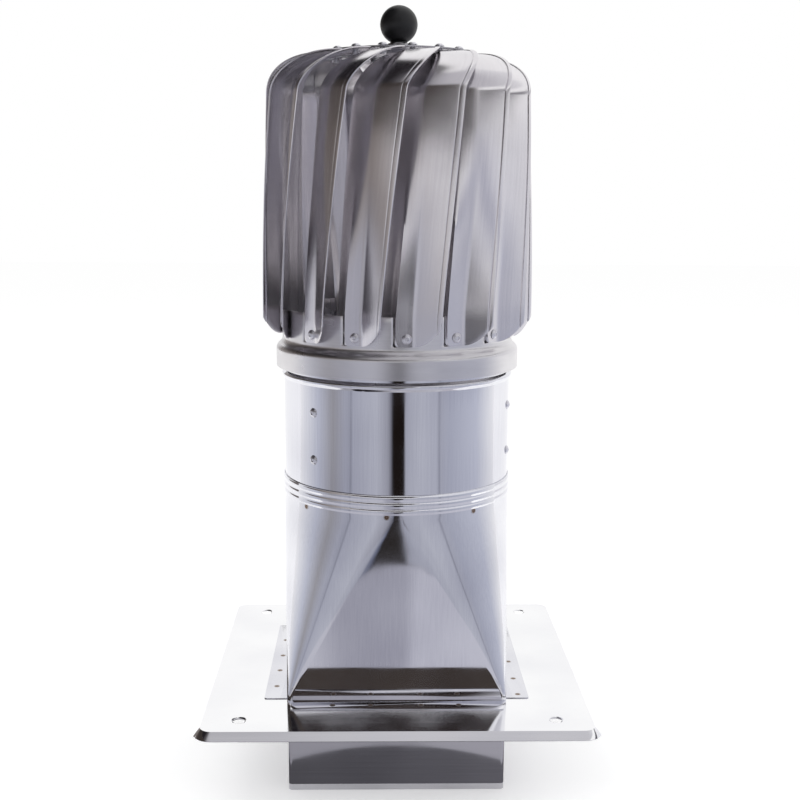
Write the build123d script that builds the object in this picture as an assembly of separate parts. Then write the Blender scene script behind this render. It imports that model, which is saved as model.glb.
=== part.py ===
from build123d import *
import math
import os

# Roof turbine ventilator for a 150 mm flue.
# Millimetres.  +Z is up and the rotor turns about Z.  The origin is the centre of the
# square spigot's lower rim.  Angles round the axis are in degrees, measured from -Y
# towards +X, so angle 0 is the front and 90 is the right-hand side.

# ---------------------------------------------------------------- driving dimensions

# Sheet metal
SHEET = 0.6                     # spigot, hood, neck
PLATE_SHEET = 1.0               # base plate and the rotor's top plate
RING_SHEET = 0.8
VANE_SHEET = 0.5
LEG_SHEET = 1.5

# Clearances
SLIP = 0.1                      # between sheet-metal pieces that slide together
RUNNING_GAP = 0.05              # radial, ball to groove
PIN_GAP = 0.05                  # radial, rivet shank and screw thread in their holes
TAB_SLOPE = 1.15                # drop of a vane's upper tab under its rivet
FOOT_GAP = 0.4                  # radial, vane foot to the ring it is riveted on
WASHER_GAP = 0.2                # radial, washer on the screw thread
SEAT_GAP = 0.02                 # radial, bearing ring on its shaft or in its seat

# Base plate
PLATE_WIDTH = 250.0
PLATE_DEPTH = 240.0
PLATE_CORNER = 12.0
PLATE_DROP = 4.3                # height of the 45 degree bevel round the rim
PLATE_TOP = 61.3
HOLE_SPACING_X = 196.0
HOLE_SPACING_Y = 198.0
HOLE_DIAMETER = 7.6
DIMPLE_DIAMETER = 11.0
DIMPLE_DEPTH = 0.5

# Square spigot and hood
SPIGOT_SIDE = 139.6
SPIGOT_CORNER = 2.5
SPIGOT_LAP = 3.4                # how far the spigot reaches up inside the hood
FLANGE_WIDTH = 14.6
HOOD_RISER = 3.0                # straight wall above the flange
HOOD_SHOULDER = 181.0           # height at which the hood becomes round
APEX_ANGLE = 5.0                # width of each flat where it meets the round end

# Neck
NECK_RADIUS = 75.0
NECK_BOTTOM = 181.5
NECK_TOP = 272.5
NECK_BEAD_HEIGHT = 264.9
NECK_BEAD_WIDTH = 5.6
NECK_BEAD_RISE = 1.5
COLLAR_TOP = 197.4
COLLAR_BEADS = (195.2, 190.9, 186.6)
COLLAR_BEAD_WIDTH = 3.4
COLLAR_BEAD_RISE = 0.9

# Rotor ring
CROWN_RADIUS = 76.0
CROWN_TOP = 308.0
SKIRT_FLARE = 4.0               # skirt outside the crown
SKIRT_BOTTOM = 269.8
SKIRT_SHOULDER = 281.0
CROWN_SHOULDER = 288.6
SLOT_BOTTOM = 291.2
SLOT_WIDTH = 2.6
SLOT_EYE = 3.0

# Vanes
VANE_COUNT = 15
VANE_STATIONS = 8               # shape stations on the blade, and again on the dome
VANE_COLUMNS = 19               # shape points across it
VANE_BOTTOM = 290.0
HEM_BOTTOM = 302.5
HEM_REACH = 13.0                # hem outside the ring's crown, at the foot
HEM_DRAW = 3.2                  # how far the hem draws in by the knuckle
HEM_DRAW_PACE = 2.5             # exponent of that against height
KNUCKLE_HEIGHT = 442.5          # where the straight blade turns into the dome
HEM_ANGLE_LOW = -7.4
HEM_TWIST = 9.8                 # turn of the blade from its foot to the knuckle
DOME_TURN = 25.6                # further turn from the knuckle to the top plate
VANE_RIVET_ANGLE = -20.7
VANE_SLOT_ANGLE = -26.0
VANE_CROSSING = 0.35            # how far the vane's face crosses to one side of the slot
VANE_CROSSING_TURN = 2.2        # turn of the vane from the ring's outside to its inside
VANE_CROSSING_DEPTH = 3.5       # radius over which it makes that turn
VANE_TAB_MARGIN = 3.2           # width in degrees of the tab beyond the rivet, to its bend
VANE_BEND_RISE = 0.3            # height of the bend above the tab
VANE_INNER_REACH = 10.0         # inner edge inside the ring's crown
VANE_INNER_ANGLE_LOW = 27.5     # inner edge behind the hem, at the foot
VANE_INNER_ANGLE_HIGH = 28.8    # and at the knuckle
VANE_BULGE = 5.6
VANE_MORPH_PACE = 1.15          # how soon the foot's folded plan opens into one arch
VANE_TWIST_PACE = 1.15          # exponent of the blade's twist against height
DOME_TWIST_PACE = 1.25          # exponent of the dome's twist
FOOT_CORNER = 0.42              # share of the width taken by the foot's rounded corner
FOOT_STEP = 7.0                 # rise of the foot where it clears the slot's lower end
FOOT_STEP_START = 0.60          # share of the width at which that rise starts
FOOT_STEP_WIDTH = 0.25
RING_RIVET_HEIGHT = 295.0
DOME_FULLNESS = 2.2             # exponent of the dome's profile, 2 is an ellipse

# Top plate
TOP_PLATE_RADIUS = 50.0
DOME_HEIGHT = 26.5              # vane's knuckle to the plate's lower rim
TOP_PLATE_RISE = 2.6            # bow of the plate, rim to hub
TOP_PLATE_HUB = 9.0             # radius of the flat under the nut
TOP_PLATE_STEPS = 8
TOP_RIVET_INSET = 6.4           # rivet circle inside the rim
TOP_RIVET_ANGLE = 9.9
TONGUE_OVERHANG = 0.8           # vane's upper end beyond the rim, at its hem corner
TONGUE_INNER_INSET = 6.0        # its other corner inside the rim, under the next vane
TONGUE_REACH = 11.4             # and its tip inside the rim
TONGUE_FULLNESS = 1.7           # exponent of the tip's outline
TONGUE_DIP = 2.6                # drop of the inner half, which passes under the next vane
TONGUE_DIP_START = 0.55

# Rivets
RIVET_SHANK = 3.2
RIVET_HEAD = 6.2
RIVET_HEAD_RISE = 1.7
RIVET_BULB = 4.6
RIVET_BULB_LENGTH = 1.8

# Spider
LEG_ANGLE = -45.3
LEG_COUNT = 3
LEG_HEIGHT = 44.0
LEG_RIVET_LOW = 215.1
LEG_RIVET_SPACING = 30.3
LEG_TAB = 18.0                  # length of the tab that follows the neck's wall

# Bearings, 10 x 26 x 8 mm deep-groove
BEARING_BORE = 10.0
BEARING_OUTSIDE = 26.0
BEARING_WIDTH = 8.0
BALL_DIAMETER = 4.762
BALL_PITCH = 18.0
BALL_COUNT = 7
INNER_LAND = 14.7
OUTER_LAND = 21.3
SHIELD_SHEET = 0.3
SHIELD_INSET = 0.15             # shield below the race's face
SHIELD_GAP = 0.3                # radial, shield to inner race
CAGE_WALL = 1.4
CAGE_LIP = 1.0                  # cage below the balls' centres
CAGE_BACK = 3.2                 # cage above the balls' centres
LOWER_BEARING = 207.0           # height of the lower bearing's lower face
UPPER_BEARING = 245.0
HOUSING_RADIUS = 16.0
HOUSING_WAIST = 22.0            # diameter between the two seats
HOUSING_END = 3.6               # housing beyond each bearing
CIRCLIP_SHEET = 1.2
CIRCLIP_DEPTH = 0.7
CIRCLIP_REACH = 2.2
HOUSING_CIRCLIP_OPENING = 5.0
CAP_SHEET = 1.0
CAP_LIP = 1.6

# Shaft, nut and knob
SHAFT_CIRCLIP_SHEET = 1.0
SHAFT_TAIL = 1.4                # shaft beyond its lower circlip
SHAFT_CIRCLIP_OPENING = 3.0
SHAFT_CHAMFER = 0.8
THREAD_DIAMETER = 8.0
SPACER_WALL = 1.8
WASHER_DIAMETER = 16.0
WASHER_SHEET = 1.6
NUT_FLATS = 13.0
NUT_HEIGHT = 4.0
NUT_CHAMFER = 0.7
KNOB_DIAMETER = 24.0
KNOB_BOSS_DIAMETER = 11.0
KNOB_BOSS = 0.9
KNOB_THREAD_DEPTH = 11.0
KNOB_THREAD_SPARE = 1.0         # free thread beyond the shaft's end
KNOB_FLAT = 0.3                 # height cut from the ball where it meets the nut
SEAL_DIAMETER = 28.0
SEAL_HEIGHT = 4.0
SEAL_GAP = 0.4                  # seal's lip to the housing's top
SEAL_WEB = 3.2                  # radial thickness of the seal's body
SEAL_LIP = 0.8

# ---------------------------------------------------------------- worked-out places

PITCH = 360.0 / VANE_COUNT
HOOD_SIDE = SPIGOT_SIDE + 2 * (SLIP + SHEET)
HOOD_CORNER = SPIGOT_CORNER + SLIP + SHEET
PLATE_RIM = PLATE_TOP - PLATE_DROP
FLANGE_TOP = PLATE_TOP + SHEET
COLLAR_RADIUS = NECK_RADIUS + SLIP + SHEET
TOP_PLATE_UNDERSIDE = KNUCKLE_HEIGHT + DOME_HEIGHT
TOP_RIVET_RADIUS = TOP_PLATE_RADIUS - TOP_RIVET_INSET
SKIRT_RADIUS = CROWN_RADIUS + SKIRT_FLARE
HEM_RADIUS = CROWN_RADIUS + HEM_REACH
VANE_INNER_RADIUS = CROWN_RADIUS - VANE_INNER_REACH
HUB_UNDERSIDE = TOP_PLATE_UNDERSIDE + TOP_PLATE_RISE
HUB_TOP = HUB_UNDERSIDE + PLATE_SHEET
TOP_RIM_TOP = TOP_PLATE_UNDERSIDE + PLATE_SHEET
NUT_TOP = HUB_TOP + NUT_HEIGHT
KNOB_CENTRE = NUT_TOP + KNOB_DIAMETER / 2 - KNOB_FLAT
SHAFT_RADIUS = BEARING_BORE / 2
UPPER_BEARING_TOP = UPPER_BEARING + BEARING_WIDTH
LOWER_BEARING_TOP = LOWER_BEARING + BEARING_WIDTH
HOUSING_BOTTOM = LOWER_BEARING - HOUSING_END
HOUSING_TOP = UPPER_BEARING_TOP + HOUSING_END
SHAFT_BOTTOM = LOWER_BEARING - SHAFT_CIRCLIP_SHEET - SHAFT_TAIL
LEG_MIDDLE = LEG_RIVET_LOW + LEG_RIVET_SPACING / 2
NECK_BORE = NECK_RADIUS - SHEET


# ---------------------------------------------------------------- helpers

def around(radius, angle, height):
    """Point at a radius and angle round the axis."""
    turn = math.radians(angle)
    return Vector(radius * math.sin(turn), -radius * math.cos(turn), height)


def post(radius, bottom, length):
    """Upright cylinder about the axis."""
    return Pos(0, 0, bottom) * Cylinder(radius, length, align=(Align.CENTER, Align.CENTER, Align.MIN))


def ring(outer, inner, bottom, top):
    """Plain ring or tube about the axis."""
    return post(outer, bottom, top - bottom) - post(inner, bottom, top - bottom)


def turned(*outline):
    """Solid of revolution of closed (radius, height) points about the axis."""
    face = make_face(Polyline(*[(r, 0, z) for r, z in outline], close=True))
    return revolve(face, Axis.Z, 360)


def bead(radius, height, width, rise, wall):
    """Rolled bead that stands proud of a tube wall, hollow behind."""
    low = height - width / 2
    high = height + width / 2
    reach = radius - wall
    outer = ThreePointArc((radius, 0, low), (radius + rise, 0, height), (radius, 0, high))
    inner = ThreePointArc((reach, 0, low), (reach + rise, 0, height), (reach, 0, high))
    sides = Line((reach, 0, low), (radius, 0, low)) + Line((reach, 0, high), (radius, 0, high))
    return revolve(make_face(outer + inner + sides), Axis.Z, 360)


def beaded_tube(radius, wall, bottom, top, heights, width, rise):
    """Tube with rolled beads at the given heights."""
    tube = ring(radius, radius - wall, bottom, top)
    for height in heights:
        tube -= ring(radius + 1, radius - wall - 1, height - width / 2, height + width / 2)
        tube += bead(radius, height, width, rise, wall)
    return tube


def rounded_square(side, corner, height):
    """Sketch of a rounded square at a height."""
    return Pos(0, 0, height) * RectangleRounded(side, side, corner)


def rivet(grip):
    """Blind rivet along +Z: its head stands on z = 0 and its bulb lies below -grip."""
    rise = RIVET_HEAD_RISE
    radius = (RIVET_HEAD ** 2 / 4 + rise ** 2) / (2 * rise)
    head = Pos(0, 0, rise - radius) * Sphere(radius)
    head &= post(RIVET_HEAD, 0, rise)
    shank = Cylinder(RIVET_SHANK / 2, grip, align=(Align.CENTER, Align.CENTER, Align.MAX))
    bulb = Cylinder(RIVET_BULB / 2, RIVET_BULB_LENGTH, align=(Align.CENTER, Align.CENTER, Align.MAX))
    bulb = chamfer(bulb.edges().group_by(Axis.Z)[0], RIVET_BULB_LENGTH / 3)
    return head + shank + Pos(0, 0, -grip) * bulb


def radial(angle, radius, height):
    """Placement whose +Z points outwards from the axis."""
    return Pos(*around(radius, angle, height)) * Rot(0, 0, angle) * Rot(90, 0, 0)


def save(part, node):
    """Write one node's STEP file."""
    part.label = node
    export_step(part, f"parts/{node}.step")


# ---------------------------------------------------------------- fixed pieces

def base_plate():
    """Shallow tray: flat sheet with a 45 degree bevel all round, open in the middle."""
    def frustum(inset, top):
        upper = Pos(0, 0, top) * RectangleRounded(
            PLATE_WIDTH - 2 * (PLATE_DROP + inset), PLATE_DEPTH - 2 * (PLATE_DROP + inset),
            PLATE_CORNER - PLATE_DROP - inset)
        lower = Pos(0, 0, top - PLATE_DROP) * RectangleRounded(
            PLATE_WIDTH - 2 * inset, PLATE_DEPTH - 2 * inset, PLATE_CORNER - inset)
        return loft([lower, upper])

    plate = frustum(0, PLATE_TOP) - frustum(0, PLATE_TOP - PLATE_SHEET)
    plate &= Pos(0, 0, PLATE_RIM) * Box(
        PLATE_WIDTH, PLATE_DEPTH, PLATE_DROP, align=(Align.CENTER, Align.CENTER, Align.MIN))
    opening = rounded_square(SPIGOT_SIDE + 2 * SLIP, SPIGOT_CORNER + SLIP, PLATE_RIM)
    plate -= extrude(opening, PLATE_DROP)
    dimple = Cone(HOLE_DIAMETER / 2, DIMPLE_DIAMETER / 2, DIMPLE_DEPTH)
    for spot in GridLocations(HOLE_SPACING_X, HOLE_SPACING_Y, 2, 2):
        plate -= spot * Pos(0, 0, PLATE_TOP) * Cylinder(HOLE_DIAMETER / 2, 4 * PLATE_SHEET)
        plate -= spot * Pos(0, 0, PLATE_TOP - DIMPLE_DEPTH / 2) * dimple
    return plate


def flue_spigot():
    """Square tube that enters the chimney and reaches up into the hood."""
    length = PLATE_TOP + SPIGOT_LAP
    outside = extrude(rounded_square(SPIGOT_SIDE, SPIGOT_CORNER, 0), length)
    inside = extrude(rounded_square(SPIGOT_SIDE - 2 * SHEET, SPIGOT_CORNER - SHEET, 0), length)
    return outside - inside


def round_wire(radius, height):
    """Circle in eight arcs that pair up with the sides and corners of a rounded square."""
    edges = []
    for quarter in range(4):
        middle = 90 * quarter
        start = middle - APEX_ANGLE / 2
        edges.append(CenterArc((0, 0, height), radius, start, APEX_ANGLE))
        edges.append(CenterArc((0, 0, height), radius, start + APEX_ANGLE, 90 - APEX_ANGLE))
    return Wire(edges)


def square_wire(side, corner, height):
    """Rounded square as eight edges, from the middle side at +X round to its last corner."""
    half = side / 2
    flat = half - corner
    edges = []
    for quarter in range(4):
        turn = Rot(0, 0, 90 * quarter)
        edges.append(turn * Line((half, -flat, height), (half, flat, height)))
        edges.append(turn * CenterArc((flat, flat, height), corner, 0, 90))
    return Wire(edges)


def square_to_round(side, corner, radius, bottom, top):
    """Four flat triangles between four slanted cones."""
    return loft([Face(square_wire(side, corner, bottom)), Face(round_wire(radius, top))], ruled=True)


def transition_hood():
    """Square-to-round hood with a beaded collar above and four flanges below."""
    riser_top = FLANGE_TOP + HOOD_RISER
    outside = square_to_round(HOOD_SIDE, HOOD_CORNER, COLLAR_RADIUS, riser_top, HOOD_SHOULDER)
    inside = square_to_round(
        HOOD_SIDE - 2 * SHEET, HOOD_CORNER - SHEET, COLLAR_RADIUS - SHEET, riser_top, HOOD_SHOULDER)
    hood = outside - inside
    riser = rounded_square(HOOD_SIDE, HOOD_CORNER, PLATE_TOP)
    riser -= rounded_square(HOOD_SIDE - 2 * SHEET, HOOD_CORNER - SHEET, PLATE_TOP)
    hood += extrude(riser, riser_top - PLATE_TOP)
    hood += beaded_tube(COLLAR_RADIUS, SHEET, HOOD_SHOULDER, COLLAR_TOP,
                        COLLAR_BEADS, COLLAR_BEAD_WIDTH, COLLAR_BEAD_RISE)
    reach = HOOD_SIDE / 2 + FLANGE_WIDTH / 2 - SHEET / 2
    for quarter in range(4):
        flange = Box(FLANGE_WIDTH + SHEET, HOOD_SIDE - 2 * HOOD_CORNER, SHEET)
        hood += Rot(0, 0, 90 * quarter) * Pos(reach, 0, PLATE_TOP + SHEET / 2) * flange
    return hood


def leg_angles():
    """Angle of each spider leg's rivets."""
    return [LEG_ANGLE + 360.0 / LEG_COUNT * count for count in range(LEG_COUNT)]


def leg_rivet_heights():
    """Heights of the two rivets on each leg."""
    return [LEG_RIVET_LOW, LEG_RIVET_LOW + LEG_RIVET_SPACING]


def neck_tube():
    """Round neck that carries the spider, with a bead that stiffens its upper end."""
    tube = beaded_tube(NECK_RADIUS, SHEET, NECK_BOTTOM, NECK_TOP,
                       [NECK_BEAD_HEIGHT], NECK_BEAD_WIDTH, NECK_BEAD_RISE)
    drill = Cylinder(RIVET_SHANK / 2 + PIN_GAP, 6 * SHEET)
    for angle in leg_angles():
        for height in leg_rivet_heights():
            tube -= radial(angle, NECK_RADIUS, height) * drill
    return tube


def spider_leg(angle):
    """Upright web from the bearing housing to a tab that is riveted inside the neck."""
    bottom = LEG_MIDDLE - LEG_HEIGHT / 2
    top = LEG_MIDDLE + LEG_HEIGHT / 2
    outer = NECK_BORE - SLIP
    spread = math.degrees(LEG_TAB / outer)
    web_angle = angle - spread / 2
    wedge = make_face(Polyline(
        (0, 0, bottom), around(2 * outer, web_angle, bottom), around(2 * outer, web_angle + spread, bottom),
        close=True))
    tab = ring(outer, outer - LEG_SHEET, bottom, top) & extrude(wedge, LEG_HEIGHT, dir=(0, 0, 1))
    web = Box(outer, LEG_SHEET, LEG_HEIGHT, align=(Align.MIN, Align.MIN, Align.CENTER))
    web = Pos(0, 0, LEG_MIDDLE) * Rot(0, 0, web_angle - 90) * web
    web &= ring(outer - LEG_SHEET / 2, HOUSING_RADIUS, bottom, top)
    leg = tab + web
    drill = Cylinder(RIVET_SHANK / 2 + PIN_GAP, 8 * LEG_SHEET)
    for height in leg_rivet_heights():
        leg -= radial(angle, outer, height) * drill
    return leg


def spider_rivets():
    """Six blind rivets through the neck's wall and the legs' tabs."""
    one = rivet(SHEET + 2 * SLIP + LEG_SHEET)
    return Compound([radial(angle, NECK_RADIUS, height) * one
                     for angle in leg_angles() for height in leg_rivet_heights()])


def bearing_housing():
    """Tube with a seat at each end for a bearing and a groove for its circlip."""
    seat = BEARING_OUTSIDE / 2 + SEAT_GAP
    body = ring(HOUSING_RADIUS, HOUSING_WAIST / 2, HOUSING_BOTTOM, HOUSING_TOP)
    body -= post(seat, HOUSING_BOTTOM, LOWER_BEARING_TOP - HOUSING_BOTTOM)
    body -= post(seat, UPPER_BEARING, HOUSING_TOP - UPPER_BEARING)
    groove = seat + CIRCLIP_DEPTH
    body -= post(groove, LOWER_BEARING - CIRCLIP_SHEET, CIRCLIP_SHEET)
    body -= post(groove, UPPER_BEARING_TOP, CIRCLIP_SHEET)
    return body


def split_ring(outer, inner, bottom, height, opening):
    """Circlip: a ring with an opening at the front."""
    clip = ring(outer, inner, bottom, bottom + height)
    return clip - Pos(0, -outer, bottom + height / 2) * Box(opening, 2 * outer, 2 * height)


def housing_circlips():
    """Two internal circlips that hold the bearings in the housing."""
    seat = BEARING_OUTSIDE / 2 + SEAT_GAP
    outer = seat + CIRCLIP_DEPTH
    inner = seat - CIRCLIP_REACH
    return Compound([split_ring(outer, inner, bottom, CIRCLIP_SHEET, HOUSING_CIRCLIP_OPENING)
                     for bottom in (LOWER_BEARING - CIRCLIP_SHEET, UPPER_BEARING_TOP)])


def bearing_cap():
    """Dust cap pressed into the housing's lower end."""
    seat = BEARING_OUTSIDE / 2
    disc = post(seat, HOUSING_BOTTOM, CAP_SHEET)
    return disc + ring(seat, seat - CAP_SHEET, HOUSING_BOTTOM, HOUSING_BOTTOM + CAP_LIP)


def ball_groove():
    """Torus that both races are cut by."""
    return Torus(BALL_PITCH / 2, BALL_DIAMETER / 2 + RUNNING_GAP)


def inner_race(bottom):
    """Inner ring on the shaft."""
    middle = bottom + BEARING_WIDTH / 2
    body = ring(INNER_LAND / 2, SHAFT_RADIUS + SEAT_GAP, bottom, bottom + BEARING_WIDTH)
    return body - Pos(0, 0, middle) * ball_groove()


def outer_race(bottom):
    """Outer ring in the housing."""
    middle = bottom + BEARING_WIDTH / 2
    body = ring(BEARING_OUTSIDE / 2, OUTER_LAND / 2, bottom, bottom + BEARING_WIDTH)
    return body - Pos(0, 0, middle) * ball_groove()


def ball_angles():
    """Angle of each ball."""
    return [360.0 / BALL_COUNT * count for count in range(BALL_COUNT)]


def balls(bottom):
    """Set of balls on the pitch circle."""
    middle = bottom + BEARING_WIDTH / 2
    one = Sphere(BALL_DIAMETER / 2)
    return Compound([Pos(*around(BALL_PITCH / 2, angle, middle)) * one for angle in ball_angles()])


def cage(bottom):
    """Snap-in ball cage: a back ring with open pockets."""
    middle = bottom + BEARING_WIDTH / 2
    pocket = Sphere(BALL_DIAMETER / 2 + 2 * RUNNING_GAP)
    outer = (BALL_PITCH + CAGE_WALL) / 2
    body = ring(outer, outer - CAGE_WALL, middle - CAGE_LIP, middle + CAGE_BACK)
    for angle in ball_angles():
        body -= Pos(*around(BALL_PITCH / 2, angle, middle)) * pocket
    return body


def bearing_shields():
    """Four thin discs, fixed in the outer races, that keep the grease in."""
    outer = OUTER_LAND / 2 - SEAT_GAP
    inner = INNER_LAND / 2 + SHIELD_GAP
    discs = []
    for bottom in (LOWER_BEARING, UPPER_BEARING):
        for height in (bottom + SHIELD_INSET, bottom + BEARING_WIDTH - SHIELD_INSET - SHIELD_SHEET):
            discs.append(ring(outer, inner, height, height + SHIELD_SHEET))
    return Compound(discs)


# ---------------------------------------------------------------- shaft and what it carries

def shaft():
    """Stepped shaft: bearing journal below, screw thread above the top plate's shoulder."""
    shoulder = HUB_UNDERSIDE - WASHER_SHEET
    thread_top = NUT_TOP + KNOB_THREAD_DEPTH - KNOB_THREAD_SPARE
    thread = THREAD_DIAMETER / 2
    core = turned(
        (0, SHAFT_BOTTOM), (SHAFT_RADIUS - SHAFT_CHAMFER, SHAFT_BOTTOM),
        (SHAFT_RADIUS, SHAFT_BOTTOM + SHAFT_CHAMFER), (SHAFT_RADIUS, shoulder), (thread, shoulder),
        (thread, thread_top - SHAFT_CHAMFER), (thread - SHAFT_CHAMFER, thread_top), (0, thread_top))
    groove = SHAFT_RADIUS - CIRCLIP_DEPTH
    for height in shaft_circlip_heights():
        core -= ring(SHAFT_RADIUS + 1, groove, height, height + SHAFT_CIRCLIP_SHEET)
    return core


def shaft_circlip_heights():
    """Lower face of each shaft circlip: one under the lower race, one over the upper race."""
    return [LOWER_BEARING - SHAFT_CIRCLIP_SHEET, UPPER_BEARING_TOP]


def shaft_circlips():
    """Two external circlips that carry the shaft on the inner races."""
    groove = SHAFT_RADIUS - CIRCLIP_DEPTH
    return Compound([
        split_ring(INNER_LAND / 2, groove, height, SHAFT_CIRCLIP_SHEET, SHAFT_CIRCLIP_OPENING)
        for height in shaft_circlip_heights()])


def inner_spacer():
    """Sleeve between the two inner races."""
    bore = SHAFT_RADIUS + SEAT_GAP
    return ring(bore + SPACER_WALL, bore, LOWER_BEARING_TOP, UPPER_BEARING)


def shaft_seal():
    """Rubber V-ring that turns with the shaft just above the housing."""
    base = HOUSING_TOP + SEAL_GAP
    bore = SHAFT_RADIUS
    web = bore + SEAL_WEB
    lip = SEAL_DIAMETER / 2
    return turned(
        (bore, base + SEAL_LIP), (web, base + SEAL_LIP), (lip - SEAL_LIP, base), (lip, base + SEAL_LIP / 2),
        (web + SEAL_LIP, base + SEAL_HEIGHT / 2), (web, base + SEAL_HEIGHT), (bore, base + SEAL_HEIGHT))


def hub_washer():
    """Washer between the shaft's shoulder and the top plate."""
    bore = THREAD_DIAMETER / 2 + WASHER_GAP
    return ring(WASHER_DIAMETER / 2, bore, HUB_UNDERSIDE - WASHER_SHEET, HUB_UNDERSIDE)


def jam_nut():
    """Thin hexagon nut that clamps the top plate."""
    nut = extrude(Pos(0, 0, HUB_TOP) * RegularPolygon(NUT_FLATS / 2, 6, major_radius=False), NUT_HEIGHT)
    shave = post(NUT_FLATS / math.sqrt(3) - SLIP, HUB_TOP, NUT_HEIGHT)
    shave = chamfer(shave.edges().filter_by(GeomType.CIRCLE), NUT_CHAMFER)
    return (nut & shave) - post(THREAD_DIAMETER / 2 + PIN_GAP, HUB_TOP, NUT_HEIGHT)


def ball_knob():
    """Ball knob that is screwed down on the shaft's end and locks the nut."""
    ball = Pos(0, 0, KNOB_CENTRE) * Sphere(KNOB_DIAMETER / 2)
    ball &= post(KNOB_DIAMETER, NUT_TOP, KNOB_DIAMETER)
    boss = post(KNOB_BOSS_DIAMETER / 2, NUT_TOP, KNOB_BOSS)
    return ball + boss - post(THREAD_DIAMETER / 2 + PIN_GAP, NUT_TOP, KNOB_THREAD_DEPTH)


# ---------------------------------------------------------------- rotor

def plate_bow(radius):
    """Height of the bowed top plate over its rim."""
    share = max(0.0, radius - TOP_PLATE_HUB) / (TOP_PLATE_RADIUS - TOP_PLATE_HUB)
    return TOP_PLATE_RISE * (1 - share ** 2)


def top_plate():
    """Bowed disc that carries the vanes, flat under the nut."""
    bore = THREAD_DIAMETER / 2 + PIN_GAP
    radii = [blend(TOP_PLATE_RADIUS, TOP_PLATE_HUB, step / TOP_PLATE_STEPS)
             for step in range(TOP_PLATE_STEPS + 1)]
    below = [(radius, TOP_PLATE_UNDERSIDE + plate_bow(radius)) for radius in radii]
    above = [(radius, height + PLATE_SHEET) for radius, height in reversed(below)]
    plate = turned((bore, HUB_TOP), (bore, HUB_UNDERSIDE), *reversed(below), *reversed(above))
    drill = Cylinder(RIVET_SHANK / 2 + PIN_GAP, 6 * PLATE_SHEET)
    for count in range(VANE_COUNT):
        spot = around(TOP_RIVET_RADIUS, TOP_RIVET_ANGLE + PITCH * count, TOP_RIM_TOP)
        plate -= Pos(*spot) * drill
    return plate


def top_rivets():
    """Fifteen blind rivets through the top plate and the vanes' upper tabs."""
    bow = plate_bow(TOP_RIVET_RADIUS - RIVET_HEAD / 2)
    one = rivet(PLATE_SHEET + VANE_SHEET + TAB_SLOPE + bow)
    spots = [around(TOP_RIVET_RADIUS, TOP_RIVET_ANGLE + PITCH * count, TOP_RIM_TOP + bow)
             for count in range(VANE_COUNT)]
    return Compound([Pos(*spot) * one for spot in spots])


def ring_rivets():
    """Fifteen blind rivets through the vanes' feet and the rotor ring."""
    one = rivet(VANE_SHEET + FOOT_GAP + RING_SHEET + 2 * SLIP)
    seat = CROWN_RADIUS + FOOT_GAP + VANE_SHEET + SLIP
    return Compound([radial(VANE_RIVET_ANGLE + PITCH * count, seat, RING_RIVET_HEIGHT) * one
                     for count in range(VANE_COUNT)])


def rotor_ring():
    """Ring that ties the vanes' feet: slotted crown above, flared skirt round the neck below."""
    def wall(offset):
        crown = CROWN_RADIUS - offset
        skirt = SKIRT_RADIUS - offset
        middle = (CROWN_SHOULDER + SKIRT_SHOULDER) / 2
        return [(crown, CROWN_TOP), (crown, CROWN_SHOULDER),
                ((crown + skirt) / 2, middle), (skirt, SKIRT_SHOULDER), (skirt, SKIRT_BOTTOM)]

    def line(points):
        crown_top, crown, middle, skirt, rim = [(r, 0, z) for r, z in points]
        upper = TangentArc([crown, middle], tangent=(0, 0, -1))
        lower = TangentArc([skirt, middle], tangent=(0, 0, 1))
        return Line(crown_top, crown) + upper + lower + Line(skirt, rim)

    outer = wall(0)
    inner = wall(RING_SHEET)
    ends = Line((outer[0][0], 0, outer[0][1]), (inner[0][0], 0, inner[0][1]))
    ends += Line((outer[-1][0], 0, outer[-1][1]), (inner[-1][0], 0, inner[-1][1]))
    body = revolve(make_face(line(outer) + line(inner) + ends), Axis.Z, 360)
    depth = 4 * RING_SHEET
    slot = Pos(0, 0, SLOT_BOTTOM) * Box(
        SLOT_WIDTH, depth, 2 * (CROWN_TOP - SLOT_BOTTOM), align=(Align.CENTER, Align.CENTER, Align.MIN))
    eye = Pos(0, 0, SLOT_BOTTOM) * Rot(90, 0, 0) * Cylinder(SLOT_EYE / 2, depth)
    drill = Cylinder(RIVET_SHANK / 2 + PIN_GAP, 6 * RING_SHEET)
    for count in range(VANE_COUNT):
        turn = Rot(0, 0, VANE_SLOT_ANGLE + PITCH * count) * Pos(0, -CROWN_RADIUS, 0)
        body -= turn * slot
        body -= turn * eye
        body -= radial(VANE_RIVET_ANGLE + PITCH * count, CROWN_RADIUS, RING_RIVET_HEIGHT) * drill
    return body


def blend(low, high, share):
    """Straight blend between two values."""
    return low + (high - low) * share


def smooth(share):
    """Ease from 0 to 1."""
    share = min(max(share, 0.0), 1.0)
    return share * share * (3 - 2 * share)


def polyline_point(points, share):
    """Point at a share of the length along straight runs in plan."""
    runs = [math.dist(a, b) for a, b in zip(points, points[1:])]
    left = share * sum(runs)
    for run, start, end in zip(runs, points, points[1:]):
        part = min(left / run, 1.0)
        spot = (blend(start[0], end[0], part), blend(start[1], end[1], part))
        left -= run
        if left <= 0:
            break
    return spot


def plan(radius, angle):
    """Plan point: sideways and outwards, seen with the hem straight ahead."""
    turn = math.radians(angle)
    return (radius * math.sin(turn), radius * math.cos(turn))


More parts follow.
